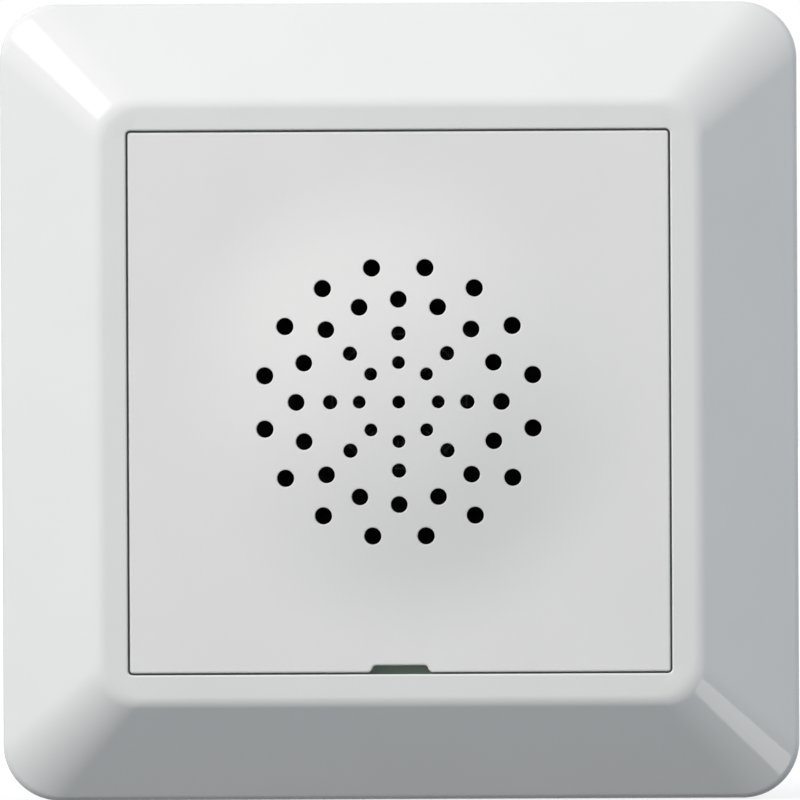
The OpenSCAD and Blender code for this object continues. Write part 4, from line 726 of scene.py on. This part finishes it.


# Wound wire: close turns along the depth, thicker than real, to show; painted highlight and shade on each.
def woundWire(name, paleHex, darkHex, wireMm, roundDeep=0.05):
    material, tree, shader, place = startMaterial(name)
    turns = addNode(tree, "ShaderNodeTexWave", {"Vector": place, "Scale": 2 * math.pi / (20 * wireMm * mm)},
                    bands_direction="Y")  # the texture itself multiplies by 20
    # painted highlight on each turn's crown and painted shade in the groove between turns
    shade = addNode(tree, "ShaderNodeMix", {0: turns.outputs["Fac"], 6: linearColour(darkHex),
                                            7: linearColour(paleHex)}, data_type="RGBA")
    bead = addNode(tree, "ShaderNodeBump", {"Height": turns.outputs["Fac"], "Distance": roundDeep * mm})
    setInputs(tree, shader, {"Base Color": shade.outputs[2], "Metallic": 0.85, "Roughness": 0.3,
                             "Normal": bead.outputs["Normal"]})
    return material


# Wound paper or pressed paper board: fibres show as short pale streaks.
def paperBoard(name, hexCode, fibreMm, fibreDeep=0.01, drift=0.4, edgeMm=0.05):
    material, tree, shader, place = startMaterial(name)
    run = addNode(tree, "ShaderNodeMapping", {"Vector": place, "Scale": (0.25, 1, 1)})
    fibre = addNode(tree, "ShaderNodeTexNoise", {"Vector": run.outputs["Vector"], "Scale": 1 / (fibreMm * mm),
                                                 "Detail": 5.0})
    shade = addNode(tree, "ShaderNodeMix", {0: fibre.outputs["Fac"], 6: linearColour(hexCode, 1 - drift),
                                            7: linearColour(hexCode, 1 + drift)}, data_type="RGBA")
    setInputs(tree, shader, {"Base Color": shade.outputs[2], "Roughness": 0.7})
    relief(tree, shader, fibre.outputs["Fac"], fibreDeep, edgeMm)
    return material


# plastics: name, colour, roughness, grain and its depth in mm, edge rounding in mm
carrierGrey = mouldedPlastic("absMouldedGrey", "#c9cbcc", 0.5, 0.5, 0.004, 0.15)  # pale and half dull
cupDark = mouldedPlastic("polyamideSparkTextured", "#45474a", 0.62, 0.35, 0.03, 0.25)  # dull, rough grain
spindleWhite = mouldedPlastic("acetalMouldedWhite", "#dcdcd8", 0.4, 0.3, 0.003, 0.1)  # smooth and waxy
blockGrey = mouldedPlastic("polyamideMouldedGrey", "#9a9da0", 0.48, 0.4, 0.006, 0.12)  # plain, half dull
trimmerBlue = mouldedPlastic("polyesterMouldedBlue", "#2b4f9c", 0.35, 0.4, 0.003, 0.12)  # clean, soft shine
capRed = mouldedPlastic("epoxyDippedRed", "#a2382a", 0.22, 1.2, 0.02, 0.3)  # thick wet-looking coat
leadRed = mouldedPlastic("vinylExtrudedRed", "#b3241d", 0.4, 0.3, 0.002)  # smooth, soft shine
basketBlack = mouldedPlastic("steelBlackLacquered", "#3a3b3d", 0.42, 0.25, 0.008, 0.2)  # even, half gloss
# metals: name, pale and dark colour, roughness, cells and marks in mm, way of the marks, edge rounding
ringZinc = platedMetal("steelSheetZincPlated", "#d3d6d8", "#b4b8bb", 0.34, 2.2, 0.25, (0.12, 1, 1), 0.2)  # cells
screwZinc = platedMetal("steelTurnedZincPlated", "#d0d1d1", "#b9bbbc", 0.28, 0.9, 0.12, edgeMm=0.1)  # bright
cageZinc = platedMetal("steelBentZincPlated", "#c9c8c1", "#aeb0ac", 0.36, 1.4, 0.2, (1, 0.15, 1), 0.1)  # yellowish
yokeZinc = platedMetal("steelDrawnZincPlated", "#c6c5be", "#adada7", 0.32, 1.8, 0.3, (1, 0.1, 1), 0.3)  # streaked
magnetNickel = platedMetal("ferriteNickelPlated", "#9c9a96", "#8a8884", 0.22, 1.0, 0.2, edgeMm=0.2)  # warm, darker
tagBrass = platedMetal("brassStampedTinned", "#d9c79a", "#c2ad7c", 0.3, 1.2, 0.2, (1, 1, 0.15), 0.08)  # pale yellow
finishes = {
    carrierGrey: ("front_carrier", "speaker_retainer"), cupDark: ("housing_cup",), ringZinc: ("support_ring",),
    screwZinc: ("housing_screws", "retainer_screws", "terminal_screw_1", "terminal_screw_2", "terminal_screw_3"),
    cageZinc: ("terminal_cage_1", "terminal_cage_2", "terminal_cage_3"), basketBlack: ("speaker_basket",),
    yokeZinc: ("speaker_yoke", "pole_plate"), magnetNickel: ("speaker_magnet",), filmBlack: ("diaphragm",),
    paperBoard("kraftPaperWound", "#b48a58", 0.6): ("coil_former",),
    woundWire("copperWireEnamelled", "#d98a52", "#7c3a1c", 0.16): ("voice_coil",),
    paperBoard("phenolicPaperPressed", "#8a5c35", 0.4): ("tag_board",), tagBrass: ("solder_tags", "terminal_bars"),
    leadRed: ("speaker_leads",), printedBoard("glassFibreGreenLacquered"): ("circuit_board",),
    epoxyChip("epoxyMouldedChime", "chime_chip", 6.4): ("chime_chip",),
    epoxyChip("epoxyMouldedAmplifier", "amplifier_chip", 6.4): ("amplifier_chip",),
    epoxyChip("epoxyMouldedBridge", "bridge_rectifier", 6.4): ("bridge_rectifier",),
    sleevedCan("aluminiumCanSleevedBlue", "smoothing_capacitor", "#1d2f6b", 3.2, 0.2): ("smoothing_capacitor",),
    sleevedCan("aluminiumCanSleevedBlack", "coupling_capacitors", "#23242c", 1.9, 0.2): ("coupling_capacitors",),
    capRed: ("film_capacitors",), bandedResistor("ceramicLacquered", "resistors", 6.3): ("resistors",),
    trimmerBlue: ("trimmer_bodies",), spindleWhite: ("volume_spindle", "tone_spindle"),
    blockGrey: ("terminal_block",),
}
for material, dressed in finishes.items():
    for name in dressed:
        slots = nodes[name].data.materials
        slots.clear()
        slots.append(material)
print("finishes set,", sum(map(len, finishes.values())), "solids dressed")

# Studio: a wide soft key from the upper left and a smaller lamp from the left, which gloss doesn't show;
# two cards that only the frame's gloss shows; cool pale air that is stronger from both sides; and a plain
# floor that fades to white with distance and throws little light back (floorShade).
studio = dict(ambient=0.27, sides=0.7, airTint=(0.915, 0.99, 1.07),
              keyAt=(-0.413, -0.979, 0.558), keySize=1.4, keyWatts=11.2, keyTint=(1.0, 0.965, 0.925),
              lampAt=(-0.606, -0.224, 0.474), lampSize=0.38, lampWatts=1.58, lampTint=(1.0, 0.98, 0.95),
              highCardAt=(-0.511, -0.397, 0.463), highCardSize=0.345, highCardWatts=0.75,
              lowCardAt=(0.586, -0.386, -0.377), lowCardSize=0.27, lowCardWatts=0.44,
              floorHex="#ffffff", floorShade="#2c3d49", floorGlow=0.75, fadeFrom=0.05, fadeTo=0.35,
              floorReach=3.0, floorGapMm=0.1, speckMm=40.0)
white = (1, 1, 1, 1)


# Share of rays that see the backdrop itself: from the camera, in a reflection or through glass.
def seenShare(tree):
    seen = addNode(tree, "ShaderNodeLightPath").outputs
    direct = addNode(tree, "ShaderNodeMath", {0: seen["Is Camera Ray"], 1: seen["Is Glossy Ray"]},
                     operation="MAXIMUM")
    through = addNode(tree, "ShaderNodeMath", {0: direct.outputs[0], 1: seen["Is Transmission Ray"]},
                      operation="MAXIMUM")
    return through.outputs[0]


# Air: it looks white, and lights the object by ambient + sides * x * x of the ray's direction.
world = bpy.data.worlds.new("studioWorld")
world.use_nodes = True
scene.world = world
sky = world.node_tree
ray = addNode(sky, "ShaderNodeSeparateXYZ", {"Vector": addNode(sky, "ShaderNodeTexCoord").outputs["Generated"]})
across = addNode(sky, "ShaderNodeMath", {0: ray.outputs["X"], 1: ray.outputs["X"]}, operation="MULTIPLY")
air = addNode(sky, "ShaderNodeMath", {0: across.outputs[0], 1: studio["sides"], 2: studio["ambient"]},
              operation="MULTIPLY_ADD")
lit = addNode(sky, "ShaderNodeVectorMath", {0: studio["airTint"], "Scale": air.outputs[0]}, operation="SCALE")
glow = addNode(sky, "ShaderNodeMix", {0: seenShare(sky), 6: lit.outputs["Vector"], 7: white}, data_type="RGBA")
setInputs(sky, sky.nodes["Background"], {"Color": glow.outputs[2]})


# Disc of light that faces the object and that the camera never sees.
def areaLight(part, tint):
    lamp = bpy.data.lights.new(part, "AREA")
    lamp.shape, lamp.size, lamp.energy, lamp.color = "DISK", studio[part + "Size"], studio[part + "Watts"], tint
    light = bpy.data.objects.new(part, lamp)
    light.location = studio[part + "At"]
    light.rotation_euler = (-Vector(studio[part + "At"])).to_track_quat("-Z", "Y").to_euler()
    light.visible_camera = False
    scene.collection.objects.link(light)
    return light


for part in ("key", "lamp"):
    areaLight(part, studio[part + "Tint"]).visible_glossy = False
# two cards that only the frame's gloss shows, each as a streak on a mitre
glossyOnes = bpy.data.collections.new("glossyOnes")
glossyOnes.objects.link(framePiece)
for part in ("highCard", "lowCard"):
    card = areaLight(part, studio["lampTint"])
    card.visible_diffuse, card.data.use_shadow = False, False
    card.light_linking.receiver_collection = glossyOnes
print("lights set")

# Floor: a matt painted square just under the object; away from it, it fades into the white behind.
floorMesh = bpy.data.meshes.new("floor")
floorLevel = float(cadLow[2]) - studio["floorGapMm"] * mm
floorCorners = [(sx * studio["floorReach"], sy * studio["floorReach"], floorLevel)
                for sx, sy in ((-1, -1), (1, -1), (1, 1), (-1, 1))]
floorMesh.from_pydata(floorCorners, [], [(0, 1, 2, 3)])
floor = bpy.data.objects.new("floor", floorMesh)
scene.collection.objects.link(floor)
floorPaint, tree, shader, place = startMaterial("paintedFloorMatt")
speck = addNode(tree, "ShaderNodeTexNoise", {"Vector": place, "Scale": 1 / (studio["speckMm"] * mm), "Detail": 2.0})
matt = addNode(tree, "ShaderNodeMapRange", {"Value": speck.outputs["Fac"], "To Min": 0.85, "To Max": 0.95})
seen = seenShare(tree)
tone = addNode(tree, "ShaderNodeMix", {0: seen, 6: linearColour(studio["floorShade"]),
                                       7: linearColour(studio["floorHex"], 1 - studio["floorGlow"])},
               data_type="RGBA")
reach = addNode(tree, "ShaderNodeVectorMath", {0: place}, operation="LENGTH")
fade = addNode(tree, "ShaderNodeMapRange", {"Value": reach.outputs["Value"], "From Min": studio["fadeFrom"],
                                            "From Max": studio["fadeTo"], "To Min": studio["floorGlow"],
                                            "To Max": 1.0})
own = addNode(tree, "ShaderNodeMath", {0: seen, 1: fade.outputs["Result"]}, operation="MULTIPLY")
setInputs(tree, shader, {"Base Color": tone.outputs[2], "Roughness": matt.outputs["Result"],
                         "Emission Color": white, "Emission Strength": own.outputs[0]})
floorMesh.materials.append(floorPaint)
floor.visible_glossy = False  # gloss looks past it to the white air

scene.view_settings.view_transform = "Standard"
print("scene ready")
